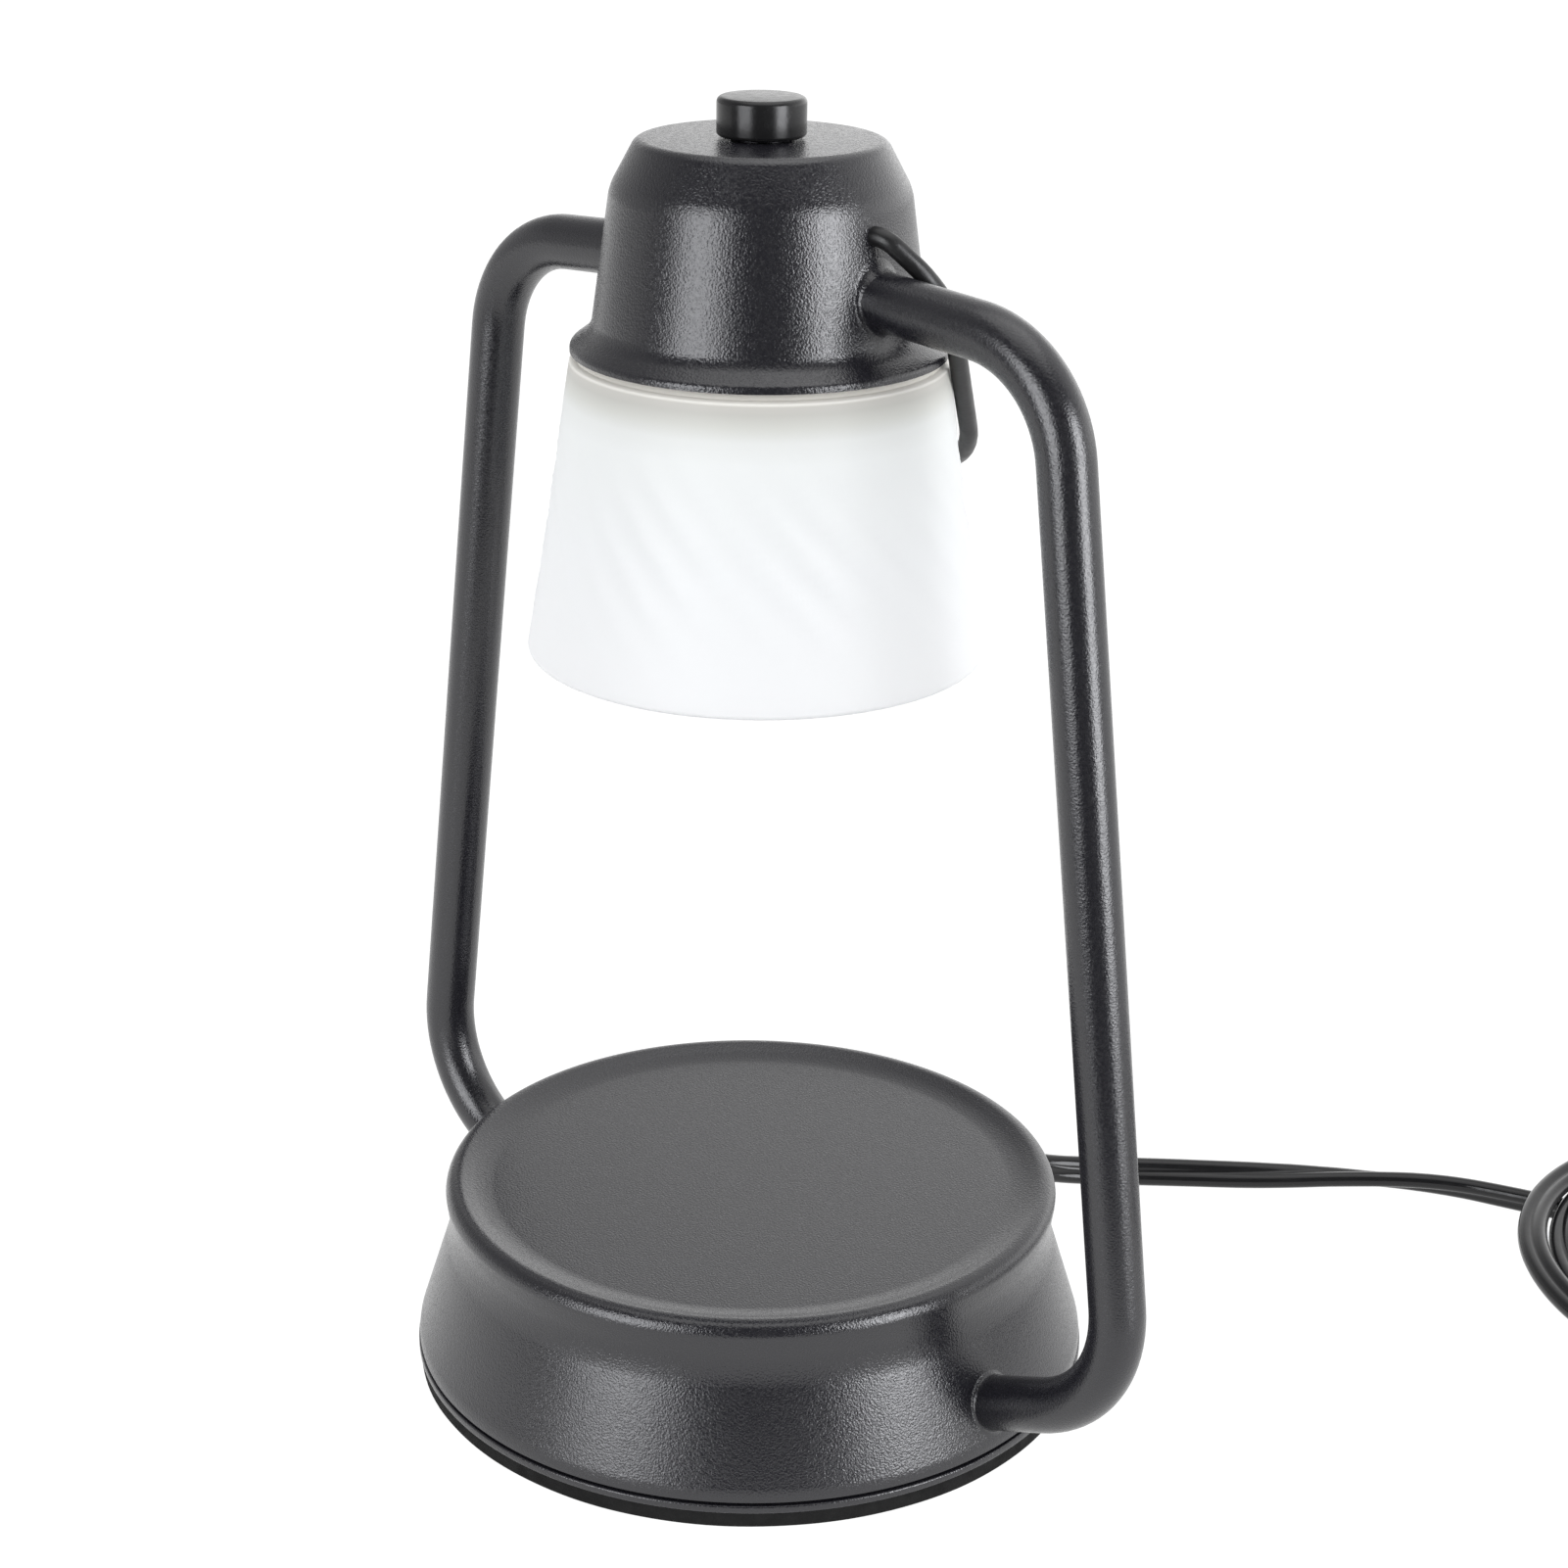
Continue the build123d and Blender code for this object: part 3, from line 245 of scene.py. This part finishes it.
def coat(
    name,
    colour,
    roughness,
    patch,
    cell,
    depth,
    metallic=0.0,
    specular=0.5,
    detail=2.0,
    strength=1.0,
    stretch=(1, 1, 1),
):
    """A material whose roughness wanders between two values, over patches of patch metres, and
    whose bump is a noise with cells of cell metres that are depth metres deep.
    """
    material = bpy.data.materials.new(name)
    material.use_nodes = True
    tree = material.node_tree
    shader = tree.nodes["Principled BSDF"]
    shader.inputs["Base Color"].default_value = (*colour, 1)
    shader.inputs["Metallic"].default_value = metallic
    shader.inputs["Specular IOR Level"].default_value = specular

    place = tree.nodes.new("ShaderNodeTexCoord")
    blotches = tree.nodes.new("ShaderNodeTexNoise")
    blotches.inputs["Scale"].default_value = 1 / patch
    blotches.inputs["Detail"].default_value = 3
    ramp = tree.nodes.new("ShaderNodeValToRGB")
    for element, position, level in zip(ramp.color_ramp.elements, (0.35, 0.65), roughness):
        element.position = position
        element.color = (level, level, level, 1)
    tree.links.new(place.outputs["Object"], blotches.inputs["Vector"])
    tree.links.new(blotches.outputs["Fac"], ramp.inputs["Fac"])
    tree.links.new(ramp.outputs["Color"], shader.inputs["Roughness"])

    stretched = tree.nodes.new("ShaderNodeMapping")
    stretched.inputs["Scale"].default_value = stretch
    noise = tree.nodes.new("ShaderNodeTexNoise")
    noise.inputs["Scale"].default_value = 1 / cell
    noise.inputs["Detail"].default_value = detail
    bump = tree.nodes.new("ShaderNodeBump")
    bump.inputs["Strength"].default_value = strength
    bump.inputs["Distance"].default_value = depth
    tree.links.new(place.outputs["Object"], stretched.inputs["Vector"])
    tree.links.new(stretched.outputs["Vector"], noise.inputs["Vector"])
    tree.links.new(noise.outputs["Fac"], bump.inputs["Height"])
    tree.links.new(bump.outputs["Normal"], shader.inputs["Normal"])
    return material


def piece(name, mesh, material, body, sharp=35):
    """Turns a bmesh into a smooth shaded object on a body, closed seams and all."""
    bmesh.ops.remove_doubles(mesh, verts=mesh.verts, dist=1e-6)
    bmesh.ops.recalc_face_normals(mesh, faces=mesh.faces)
    data = bpy.data.meshes.new(name)
    mesh.to_mesh(data)
    mesh.free()
    data.shade_smooth()
    data.set_sharp_from_angle(angle=math.radians(sharp))
    data.materials.append(material)
    made = bpy.data.objects.new(name, data)
    bpy.context.scene.collection.objects.link(made)
    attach(made, body)
    return made


lead_jacket = coat(
    "lead jacket", (0.012, 0.012, 0.013), (0.12, 0.22), patch=0.004, cell=0.0016, depth=0.000015,
    specular=0.35, detail=4,
)

# the jacket's section, two round lobes with a groove between them
section_data = bpy.data.curves.new("lead section", "CURVE")
section = section_data.splines.new("POLY")
lobe = lead_thickness / 2
lobe_across = lead_width / 2 - lobe
groove = 0.68 * lobe
ring = []
for side in (1, -1):
    for degrees in range(-125, 126, 25):
        across = lobe_across + lobe * math.cos(math.radians(degrees))
        ring.append((side * across, side * lobe * math.sin(math.radians(degrees))))
    ring.append((0, side * groove))
section.points.add(len(ring) - 1)
for point, (across, up) in zip(section.points, ring):
    point.co = (across * mm, up * mm, 0, 1)
section.use_cyclic_u = True
section_object = bpy.data.objects.new("lead section", section_data)

# the section is swept along the route's smooth line, with its roll
line_data = bpy.data.curves.new("lead line", "CURVE")
line_data.dimensions = "3D"
line_data.twist_mode = "Z_UP"
line_data.resolution_u = 10
spline = line_data.splines.new("NURBS")
spline.points.add(len(lead_route) - 1)
for point, (x, y, z, roll) in zip(spline.points, lead_route):
    point.co = (x * mm, y * mm, z * mm, 1)
    point.tilt = math.radians(roll)
spline.order_u = 3
spline.use_endpoint_u = True
line_object = bpy.data.objects.new("lead line", line_data)
bpy.context.scene.collection.objects.link(line_object)
bpy.context.view_layer.update()
graph = bpy.context.evaluated_depsgraph_get()
centre_line = bpy.data.meshes.new_from_object(line_object.evaluated_get(graph))
line_data.bevel_mode = "OBJECT"
line_data.bevel_object = section_object
line_data.use_fill_caps = True
bpy.context.view_layer.update()
graph = bpy.context.evaluated_depsgraph_get()
tube = bmesh.new()
tube.from_mesh(bpy.data.meshes.new_from_object(line_object.evaluated_get(graph)))
bpy.data.objects.remove(line_object)
bpy.data.objects.remove(section_object)
mains_lead = piece("mains_lead", tube, lead_jacket, "frame", sharp=60)
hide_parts("mains_cord", "cord_coil", "cord_end")

# ---- strain relief --------------------------------------------------------------------------
# A moulded vinyl sleeve, clipped into the back of the base, that tapers along the first part
# of the lead.  Its ribs let it bend.
soft_black = coat(
    "soft black vinyl", (0.016, 0.016, 0.017), (0.42, 0.6), patch=0.006, cell=0.0009,
    depth=0.00004, specular=0.3,
)


def turned(points, rounds, steps, segments, long_cuts=0):
    """Spins a wire of (radius, height) points, with its corners rounded, about Z."""
    mesh = bmesh.new()
    corners = [mesh.verts.new((radius * mm, 0, height * mm)) for radius, height in points]
    for start, end in zip(corners, corners[1:]):
        mesh.edges.new((start, end))
    places = [Vector((radius * mm, 0, height * mm)) for radius, height in points]
    for index, rounding in rounds.items():
        before = places[index] - places[index - 1]
        after = places[(index + 1) % len(places)] - places[index]
        bmesh.ops.bevel(
            mesh,
            geom=[corners[index]],
            offset=rounding * mm * math.tan(before.angle(after) / 2),
            affect="VERTICES",
            segments=segments,
            profile=0.5,
            material=-1,
        )
    if long_cuts:
        long_runs = [edge for edge in mesh.edges if edge.calc_length() > 40 * mm]
        bmesh.ops.subdivide_edges(mesh, edges=long_runs, cuts=long_cuts)
    bmesh.ops.spin(
        mesh,
        geom=mesh.verts[:] + mesh.edges[:],
        cent=(0, 0, 0),
        axis=(0, 0, 1),
        angle=math.tau,
        steps=steps,
        use_merge=True,
    )
    bmesh.ops.remove_doubles(mesh, verts=mesh.verts, dist=1e-6)
    return mesh


def refinish(material, *names):
    """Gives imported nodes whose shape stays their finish."""
    for name in names:
        nodes[name].data.materials.clear()
        nodes[name].data.materials.append(material)


relief_root, relief_tip = 76.2, 89.0
sleeve_bore, sleeve_neck, flange_radius = 3.6, 5.2, 6.8
sleeve_ribs, rib_pitch, rib_width, rib_dip = 4, 2.9, 1.9, 0.75
sleeve_points = [
    (sleeve_bore, relief_root - 6),
    (sleeve_neck, relief_root - 6),
    (sleeve_neck, relief_root),
    (sleeve_neck, relief_root + 1.0),
    (flange_radius, relief_root + 1.0),
    (flange_radius, relief_root + 2.6),
    (5.0, relief_root + 2.6),
]
for rib in range(sleeve_ribs):
    rib_radius, rib_start = 5.0 - 0.22 * rib, relief_root + 3.2 + rib * rib_pitch
    sleeve_points += [
        (rib_radius, rib_start),
        (rib_radius, rib_start + rib_width),
        (rib_radius - rib_dip, rib_start + 2.1),
        (rib_radius - rib_dip, rib_start + 2.7),
    ]
sleeve_points += [(4.1, relief_tip), (sleeve_bore, relief_tip), sleeve_points[0]]
sleeve = turned(sleeve_points, {5: 0.5}, steps=48, segments=4)
point_back = Matrix.Rotation(math.radians(-90), 3, "X")
bmesh.ops.rotate(sleeve, verts=sleeve.verts, cent=(0, 0, 0), matrix=point_back)
bmesh.ops.translate(sleeve, verts=sleeve.verts, vec=(0, 0, lead_exit[2]))
relief = piece("strain_relief_sleeve", sleeve, soft_black, "frame", sharp=40)
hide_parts("strain_relief")

# ---- plug -----------------------------------------------------------------------------------
# A moulded two-blade plug on the lead's far end, and its punched brass blades.
bright_brass = coat(
    "bright brass", (0.78, 0.58, 0.27), (0.2, 0.36), patch=0.003, cell=0.0006, depth=0.00001,
    metallic=1, stretch=(1, 6, 1),
)
refinish(lead_jacket, "plug_body")
refinish(bright_brass, "plug_blades")

# ---- base -----------------------------------------------------------------------------------
# The foot: a shell pressed from steel sheet, powder coated inside and out, with a rolled rim
# round a shallow seat.  A thin ridged plate closes it underneath, a shadow gap above it, and a
# foam ring under the plate stands on the table.
powder_black = (0.0125, 0.0122, 0.0165)
powder_coat = coat(
    "black powder coat", powder_black, (0.18, 0.3), patch=0.0007, cell=0.00044, depth=0.00013,
    specular=0.7, detail=1.0, strength=0.8,
)
smooth_coat = coat(
    "smooth powder coat", powder_black, (0.2, 0.32), patch=0.0007, cell=0.00044, depth=0.00006,
    specular=0.7, detail=1.0,
)

skirt_radius, skirt_bottom, skirt_knee = 76.6, 6.4, 8.3
waist_radius, waist_height = 68.6, 33.6
rim_corners, rim_round = [(70.0, 43.36), (67.36, 45.5)], 2.98
knee_round, waist_round, seat_round = 8, 18, 14
seat_radius, seat_height = 61.28, 43.1
sheet = 1.2  # thickness of the pressed steel
shell = turned(
    [
        (skirt_radius, skirt_bottom),
        (skirt_radius, skirt_knee),
        (waist_radius, waist_height),
        *rim_corners,
        (seat_radius, seat_height),
        (0, seat_height),
    ],
    {1: knee_round, 2: waist_round, 3: rim_round, 4: rim_round, 5: seat_round},
    steps=200,
    segments=14,
)
bmesh.ops.recalc_face_normals(shell, faces=shell.faces)
bmesh.ops.solidify(shell, geom=shell.faces[:], thickness=sheet * mm)
pressed_base = piece("pressed_base", shell, powder_coat, "frame")
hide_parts("base_shell")

plate_radius, ridge_radius, ridge_bore = 76.9, 75.1, 74.0
plate_bottom, plate_top, ridge_top = 3.8, 5.6, 8.0
plate = turned(
    [
        (0, plate_bottom),
        (plate_radius, plate_bottom),
        (plate_radius, plate_top),
        (ridge_radius, plate_top),
        (ridge_radius, ridge_top),
        (ridge_bore, ridge_top),
        (ridge_bore, plate_top),
        (0, plate_top),
    ],
    {1: 0.4, 2: 0.4},
    steps=200,
    segments=4,
)
bottom_plate = piece("bottom_plate", plate, powder_coat, "frame")
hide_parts("base_plate")

foam_black = coat(
    "black foam", (0.012, 0.012, 0.012), (0.75, 0.95), patch=0.003, cell=0.0005, depth=0.00015,
    specular=0.15,
)
pad_radius, pad_bore, pad_wave = 76.4, 58, 0.0006
pad = turned(
    [
        (pad_bore, 0),
        (pad_radius, 0),
        (pad_radius, plate_bottom),
        (pad_bore, plate_bottom),
        (pad_bore, 0),
    ],
    {1: 0.8, 2: 0.3},
    steps=200,
    segments=4,
)
for vert in pad.verts:  # the pad's edge is cut a little unevenly
    if vert.co.to_2d().length > 70 * mm:
        around = math.atan2(vert.co.y, vert.co.x)
        wave = 1 - pad_wave * (math.sin(7 * around) + 0.6 * math.sin(17 * around + 1))
        vert.co.x *= wave
        vert.co.y *= wave
pad_ring = piece("pad_ring", pad, foam_black, "frame")
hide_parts("base_pad")

bright_zinc = coat(
    "bright zinc", (0.55, 0.55, 0.54), (0.24, 0.4), patch=0.002, cell=0.0008, depth=0.00001,
    metallic=1,
)
refinish(bright_zinc, "base_posts", "plate_screws")

# ---- side tubes -----------------------------------------------------------------------------
# Two steel tubes, each bent twice, that enter the bell cap and the base and are powder coated
# with them.
tube_radius, tube_wall = 5.95, 1.0


def bent(corners, bends, radius, around, bend_steps):
    """Draws a ring of around points along straight runs and round the bends between them."""
    corners = [Vector(corner) * mm for corner in corners]
    heading = (corners[1] - corners[0]).normalized()
    mesh = bmesh.new()
    turn_to = Vector((0, 0, 1)).rotation_difference(heading).to_matrix().to_4x4()
    bmesh.ops.create_circle(
        mesh,
        segments=around,
        radius=radius * mm,
        matrix=Matrix.Translation(corners[0]) @ turn_to,
    )
    ring, place = mesh.edges[:], corners[0]
    for index, corner in enumerate(corners[1:], 1):
        last = index == len(corners) - 1
        bend = 0 if last else bends[index - 1] * mm
        next_heading = heading if last else (corners[index + 1] - corner).normalized()
        turn = heading.angle(next_heading)
        end = corner - heading * bend * math.tan(turn / 2)
        grown = bmesh.ops.extrude_edge_only(mesh, edges=ring)["geom"]
        new_verts = [item for item in grown if isinstance(item, bmesh.types.BMVert)]
        new_edges = [item for item in grown if isinstance(item, bmesh.types.BMEdge)]
        bmesh.ops.translate(mesh, verts=new_verts, vec=end - place)
        ring = [edge for edge in new_edges if all(vert in new_verts for vert in edge.verts)]
        place = end
        if last:
            break
        inward = (next_heading - heading * heading.dot(next_heading)).normalized()
        spun = bmesh.ops.spin(
            mesh,
            geom=ring,
            cent=end + inward * bend,
            axis=heading.cross(next_heading).normalized(),
            angle=turn,
            steps=bend_steps,
        )["geom_last"]
        ring = [item for item in spun if isinstance(item, bmesh.types.BMEdge)]
        place = corner + next_heading * bend * math.tan(turn / 2)
        heading = next_heading
    return mesh


def on_run(x, middle, corner):
    """The point at x on a tube's run, which would meet the lamp's axis at the height middle."""
    return (x, middle + (corner[1] - middle) * x / corner[0])


tube_middle_high, tube_middle_low = 253.97, -14.1
tube_shoulder, tube_hip = (79.8, 248.5), (109.3, 30.2)
shoulder_bend, hip_bend = 25.6, 29.6
tube_start = on_run(32.0, tube_middle_high, tube_shoulder)  # inside the cap
tube_end = on_run(70.5, tube_middle_low, tube_hip)  # inside the base
for name, side in (("right", 1), ("left", -1)):
    tube = bent(
        [(side * x, 0, z) for x, z in (tube_start, tube_shoulder, tube_hip, tube_end)],
        [shoulder_bend, hip_bend],
        tube_radius,
        around=48,
        bend_steps=20,
    )
    bmesh.ops.recalc_face_normals(tube, faces=tube.faces)
    bmesh.ops.solidify(tube, geom=tube.faces[:], thickness=tube_wall * mm)
    made = piece(f"side_tube_{name}", tube, smooth_coat, "frame")
    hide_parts(f"{name}_tube")

# ---- welds ----------------------------------------------------------------------------------
# A small round of weld closes each joint of a tube with the cap and with the base, ground soft
# and coated over.
cap_weld, base_weld, weld_steps = 2.3, 1.3, 96
cap_foot_radius, cap_foot_height, cap_slope = 34.95, 240.7, 3.9 / 29.1
skirt_slope = 8.0 / 25.3
weld_profile = [  # growth past the tube and lift off the wall, as shares of the reach
    (1.0, -0.08),
    (0.7, 0.03),
    (0.45, 0.12),
    (0.26, 0.26),
    (0.12, 0.46),
    (0.03, 0.75),
    (-0.06, 1.1),
]


def wall_point(axis_start, heading, offset, wall):
    """Where a line along a tube, offset from its axis, meets a turned wall."""
    place = axis_start + offset
    for _ in range(8):
        radius = wall(place.z / mm) * mm
        across = math.sqrt(max(radius * radius - place.y * place.y, 0))
        place = place + heading * ((across - abs(place.x)) / abs(heading.x))
    return place


def weld(name, axis_start, heading, wall, reach):
    """Bridged loops from the wall over the round of the weld to the tube, wider above and below."""
    mesh = bmesh.new()
    side = Vector((0, 1, 0))
    over = heading.cross(side).normalized()
    loops = []
    for grow, lift in weld_profile:
        loop = bmesh.ops.create_circle(mesh, segments=weld_steps, radius=1)["verts"]
        for index, vert in enumerate(loop):
            angle = math.tau * index / weld_steps
            uneven = 0.04 * math.sin(3 * angle + heading.x)
            swell = reach * (0.45 + 0.75 * math.sin(angle) ** 2 + uneven)
            radius = (tube_radius + grow * swell) * mm
            offset = side * radius * math.cos(angle) + over * radius * math.sin(angle)
            vert.co = wall_point(axis_start, heading, offset, wall) + heading * lift * swell * mm
        loops.append(loop)
    for inner, outer in zip(loops, loops[1:]):
        rows = set(inner) | set(outer)
        edges = [e for e in mesh.edges if e.verts[0] in rows and e.verts[1] in rows]
        bmesh.ops.bridge_loops(mesh, edges=[e for e in edges if len(e.link_faces) < 2])
    piece(name, mesh, powder_coat, "frame", sharp=80)


def cap_wall(height):
    return cap_foot_radius - cap_slope * (height - cap_foot_height)


def skirt_wall(height):
    return skirt_radius - skirt_slope * max(height - skirt_knee, 0)


for name, side in (("right", 1), ("left", -1)):
    for joint, middle, corner, share, wall, reach in (  # share: of the run, up to the wall
        ("cap", tube_middle_high, tube_shoulder, 0.4, cap_wall, cap_weld),
        ("base", tube_middle_low, tube_hip, 0.68, skirt_wall, base_weld),
    ):
        middle_point = Vector((0, 0, middle)) * mm
        run = Vector((side * corner[0], 0, corner[1])) * mm - middle_point
        near_wall = middle_point + run * share
        weld(f"weld_{joint}_{name}", near_wall, run.normalized(), wall, reach)

# ---- bell cap -------------------------------------------------------------------------------
# A bell pressed from steel sheet, with a flared lip over the shade and a flat top that carries
# the dimmer.  The handle's ends turn in two holes in its sides.
cap_lip_radius, cap_lip_bottom, cap_top = 39.35, 236.1, 279.65
lip_round, foot_round, shoulder_round, top_round = 1.25, 4.7, 10.0, 2.4
bell = turned(
    [
        (cap_lip_radius, cap_lip_bottom),
        (cap_lip_radius, 237.4),
        (cap_foot_radius, cap_foot_height),
        (30.95, 269.8),
        (25.65, cap_top),
        (3.8, cap_top),
    ],
    {1: lip_round, 2: foot_round, 3: shoulder_round, 4: top_round},
    steps=200,
    segments=10,
)
bmesh.ops.recalc_face_normals(bell, faces=bell.faces)
bmesh.ops.solidify(bell, geom=bell.faces[:], thickness=sheet * mm)
bell_cap = piece("pressed_bell_cap", bell, powder_coat, "frame")
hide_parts("bell_cap")

# ---- dimmer and knob ------------------------------------------------------------------------
# A rotary dimmer clamped under the cap by a washer and a nut, and a turned metal knob pressed
# on the flat of its shaft.
satin_black = coat(
    "satin black", (0.012, 0.012, 0.013), (0.22, 0.28), patch=0.002, cell=0.0005, depth=0.000012,
    specular=0.36,
)
thermoset = coat(
    "dark thermoset", (0.03, 0.03, 0.032), (0.45, 0.6), patch=0.004, cell=0.0007, depth=0.00004,
)
# The washer and nut under the knob are coloured black as painted shade, for the shadow the knob
# casts over them.
painted_shade_steel = coat(
    "black steel as painted shade", (0.03, 0.03, 0.032), (0.3, 0.45), patch=0.002, cell=0.0006,
    depth=0.00001, metallic=1,
)
refinish(painted_shade_steel, "bushing_washer", "bushing_nut")
refinish(bright_zinc, "dimmer_shaft")
refinish(thermoset, "dimmer_body")
knob_radius, knob_top, knob_bottom = 9.2, 288.05, 280.1
knob = turned(
    [
        (0, knob_top),
        (knob_radius, knob_top),
        (knob_radius, knob_bottom),
        (7.35, knob_bottom),
        (7.35, 283.0),
        (3.0, 283.0),
        (3.0, 285.8),
        (0, 285.8),
    ],
    {1: 1.2, 2: 0.9},
    steps=120,
    segments=6,
)
dimmer_knob = piece("dimmer_knob", knob, satin_black, "dial")
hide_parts("knob")

# ---- handle ---------------------------------------------------------------------------------
# One length of steel wire bent into a bail, its two ends sprung into the cap.  It folds down
# to the back, and swings up over the knob to carry the lamp.
wire_paint = coat(
    "satin wire paint", (0.013, 0.013, 0.014), (0.3, 0.42), patch=0.003, cell=0.0009,
    depth=0.00003, specular=0.4,
)
hinge_height, rest_tilt = 264.2, math.radians(38.69)
wire_radius = 2.0
half_handle = [(27.0, 0), (34.7, 0), (43.3, 15.1), (19.2, 76.5)]  # across, and along the bail
half_bends = [4.6, 21.3, 27.4]
handle_corners = half_handle + [(-x, along) for x, along in reversed(half_handle)]
handle_wire = bent(
    [
        (x, along * math.sin(rest_tilt), hinge_height - along * math.cos(rest_tilt))
        for x, along in handle_corners
    ],
    half_bends + half_bends[::-1],
    wire_radius,
    around=24,
    bend_steps=10,
)
bmesh.ops.holes_fill(handle_wire, edges=handle_wire.edges, sides=24)
bail = piece("wire_handle", handle_wire, wire_paint, "handle")
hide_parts("bail_handle")

# ---- lampholder and its yoke ----------------------------------------------------------------
# A steel strap bolted under the dimmer carries the lampholder: a dark moulding with a ceramic
# insert and two brass contacts for a twist-lock bulb.
ceramic = coat(
    "white ceramic", (0.8, 0.78, 0.73), (0.5, 0.7), patch=0.004, cell=0.0008, depth=0.00004,
)
refinish(bright_zinc, "socket_yoke", "yoke_screws")
refinish(thermoset, "lampholder", "shade_ring")
refinish(ceramic, "holder_insert")
refinish(bright_brass, "holder_contacts")
refinish(foam_black, "shade_gasket")

# ---- bulb -----------------------------------------------------------------------------------
# A 50 mm halogen reflector bulb: a pressed glass body silvered inside, a clear lens and two pins.
silvered = coat(
    "silvered glass", (0.72, 0.73, 0.75), (0.08, 0.18), patch=0.005, cell=0.003, depth=0.00002,
    metallic=1,
)
lens_glass = coat(
    "clear lens", (0.85, 0.87, 0.88), (0.05, 0.12), patch=0.005, cell=0.002, depth=0.00005,
)
shader = lens_glass.node_tree.nodes["Principled BSDF"]
shader.inputs["Transmission Weight"].default_value = 0.6
refinish(silvered, "bulb_body")
refinish(lens_glass, "bulb_lens")
refinish(bright_zinc, "bulb_pins")

# ---- glass shade ----------------------------------------------------------------------------
# Blown opal glass, frosted with a satin surface, with a fire-polished lip.  Faint ribs from the
# mould swirl round its middle.
shade_glass = coat(
    "frosted opal glass with painted shade", (0.9, 0.91, 0.9), (0.5, 0.5), patch=0.01, cell=0.0005, depth=0.00001,
    specular=0.2,
)
shader = shade_glass.node_tree.nodes["Principled BSDF"]
shader.inputs["Subsurface Weight"].default_value = 0.3
shader.inputs["Subsurface Radius"].default_value = (0.003, 0.003, 0.003)
shade_bottom, shade_top = 171.6, 236.4
# From about 222 mm up the ramp paints shade: grey under the cap's lip and where the dark holder
# shows through the glass, with a painted highlight line on the shoulder's edge at 234.1 mm.
opal_tone_and_painted_shade = [  # height and colour: the glass's own cool white, with painted shade and a painted highlight up top
    (171.6, (0.915, 0.93, 0.955)),
    (200.0, (0.90, 0.92, 0.945)),
    (222.0, (0.88, 0.905, 0.91)),
    (226.5, (0.83, 0.85, 0.845)),
    (229.5, (0.70, 0.71, 0.68)),
    (232.0, (0.60, 0.60, 0.57)),
    (233.6, (0.62, 0.61, 0.58)),
    (234.1, (0.92, 0.91, 0.87)),
    (234.6, (0.80, 0.78, 0.73)),
    (236.4, (0.76, 0.74, 0.69)),
]
tree = shade_glass.node_tree
place = tree.nodes.new("ShaderNodeTexCoord")
parts = tree.nodes.new("ShaderNodeSeparateXYZ")
level = tree.nodes.new("ShaderNodeMapRange")
level.inputs["From Min"].default_value = shade_bottom * mm
level.inputs["From Max"].default_value = shade_top * mm
ramp = tree.nodes.new("ShaderNodeValToRGB")
while len(ramp.color_ramp.elements) < len(opal_tone_and_painted_shade):
    ramp.color_ramp.elements.new(0.5)
for element, (height, colour) in zip(ramp.color_ramp.elements, opal_tone_and_painted_shade):
    element.position = (height - shade_bottom) / (shade_top - shade_bottom)
    element.color = (*colour, 1)
tree.links.new(place.outputs["Object"], parts.inputs[0])
tree.links.new(parts.outputs["Z"], level.inputs["Value"])
tree.links.new(level.outputs["Result"], ramp.inputs["Fac"])
tree.links.new(ramp.outputs["Color"], shader.inputs["Base Color"])

rib_count, rib_depth, rib_twist = 26, 0.7, math.radians(1.15)  # twist for each millimetre up
rib_bottom, rib_top = 175, 229
shade = turned(
    [
        (17.4, 232.4),
        (17.4, 235.0),
        (35.6, 235.0),
        (36.2, shade_top),
        (37.7, shade_top),
        (38.2, 234.7),
        (39.45, 234.1),
        (49.1, shade_bottom),
        (46.5, shade_bottom),
        (36.7, 232.4),
        (17.4, 232.4),
    ],
    {4: 0.5, 6: 0.6, 7: 1.1, 8: 1.1, 9: 2.4},
    steps=260,
    segments=6,
    long_cuts=28,
)
for vert in shade.verts:
    height = vert.co.z / mm
    reach = vert.co.to_2d().length / mm
    outside = reach > 40.5 + (rib_top - height) * 0.1
    if rib_bottom < height < rib_top and outside:
        share = (height - rib_bottom) / (rib_top - rib_bottom)
        around = math.atan2(vert.co.y, vert.co.x) + rib_twist * (height - rib_bottom)
        hollow = rib_depth * abs(math.sin(rib_count * around / 2)) ** 0.7
        hollow *= math.sin(math.pi * share) ** 1.5
        vert.co -= Vector((vert.co.x, vert.co.y, 0)).normalized() * hollow * mm
opal_shade = piece("opal_shade", shade, shade_glass, "frame")
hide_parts("glass_shade")

# ---- wiring ---------------------------------------------------------------------------------
# The lead's tail, its crimped joints, the sleeve through the right tube and the dimmer's leads.
nylon = coat(
    "natural nylon", (0.8, 0.78, 0.72), (0.4, 0.55), patch=0.004, cell=0.001, depth=0.00003,
)
refinish(nylon, "crimp_connectors")
refinish(soft_black, "cord_tail", "riser_lead", "dimmer_leads")
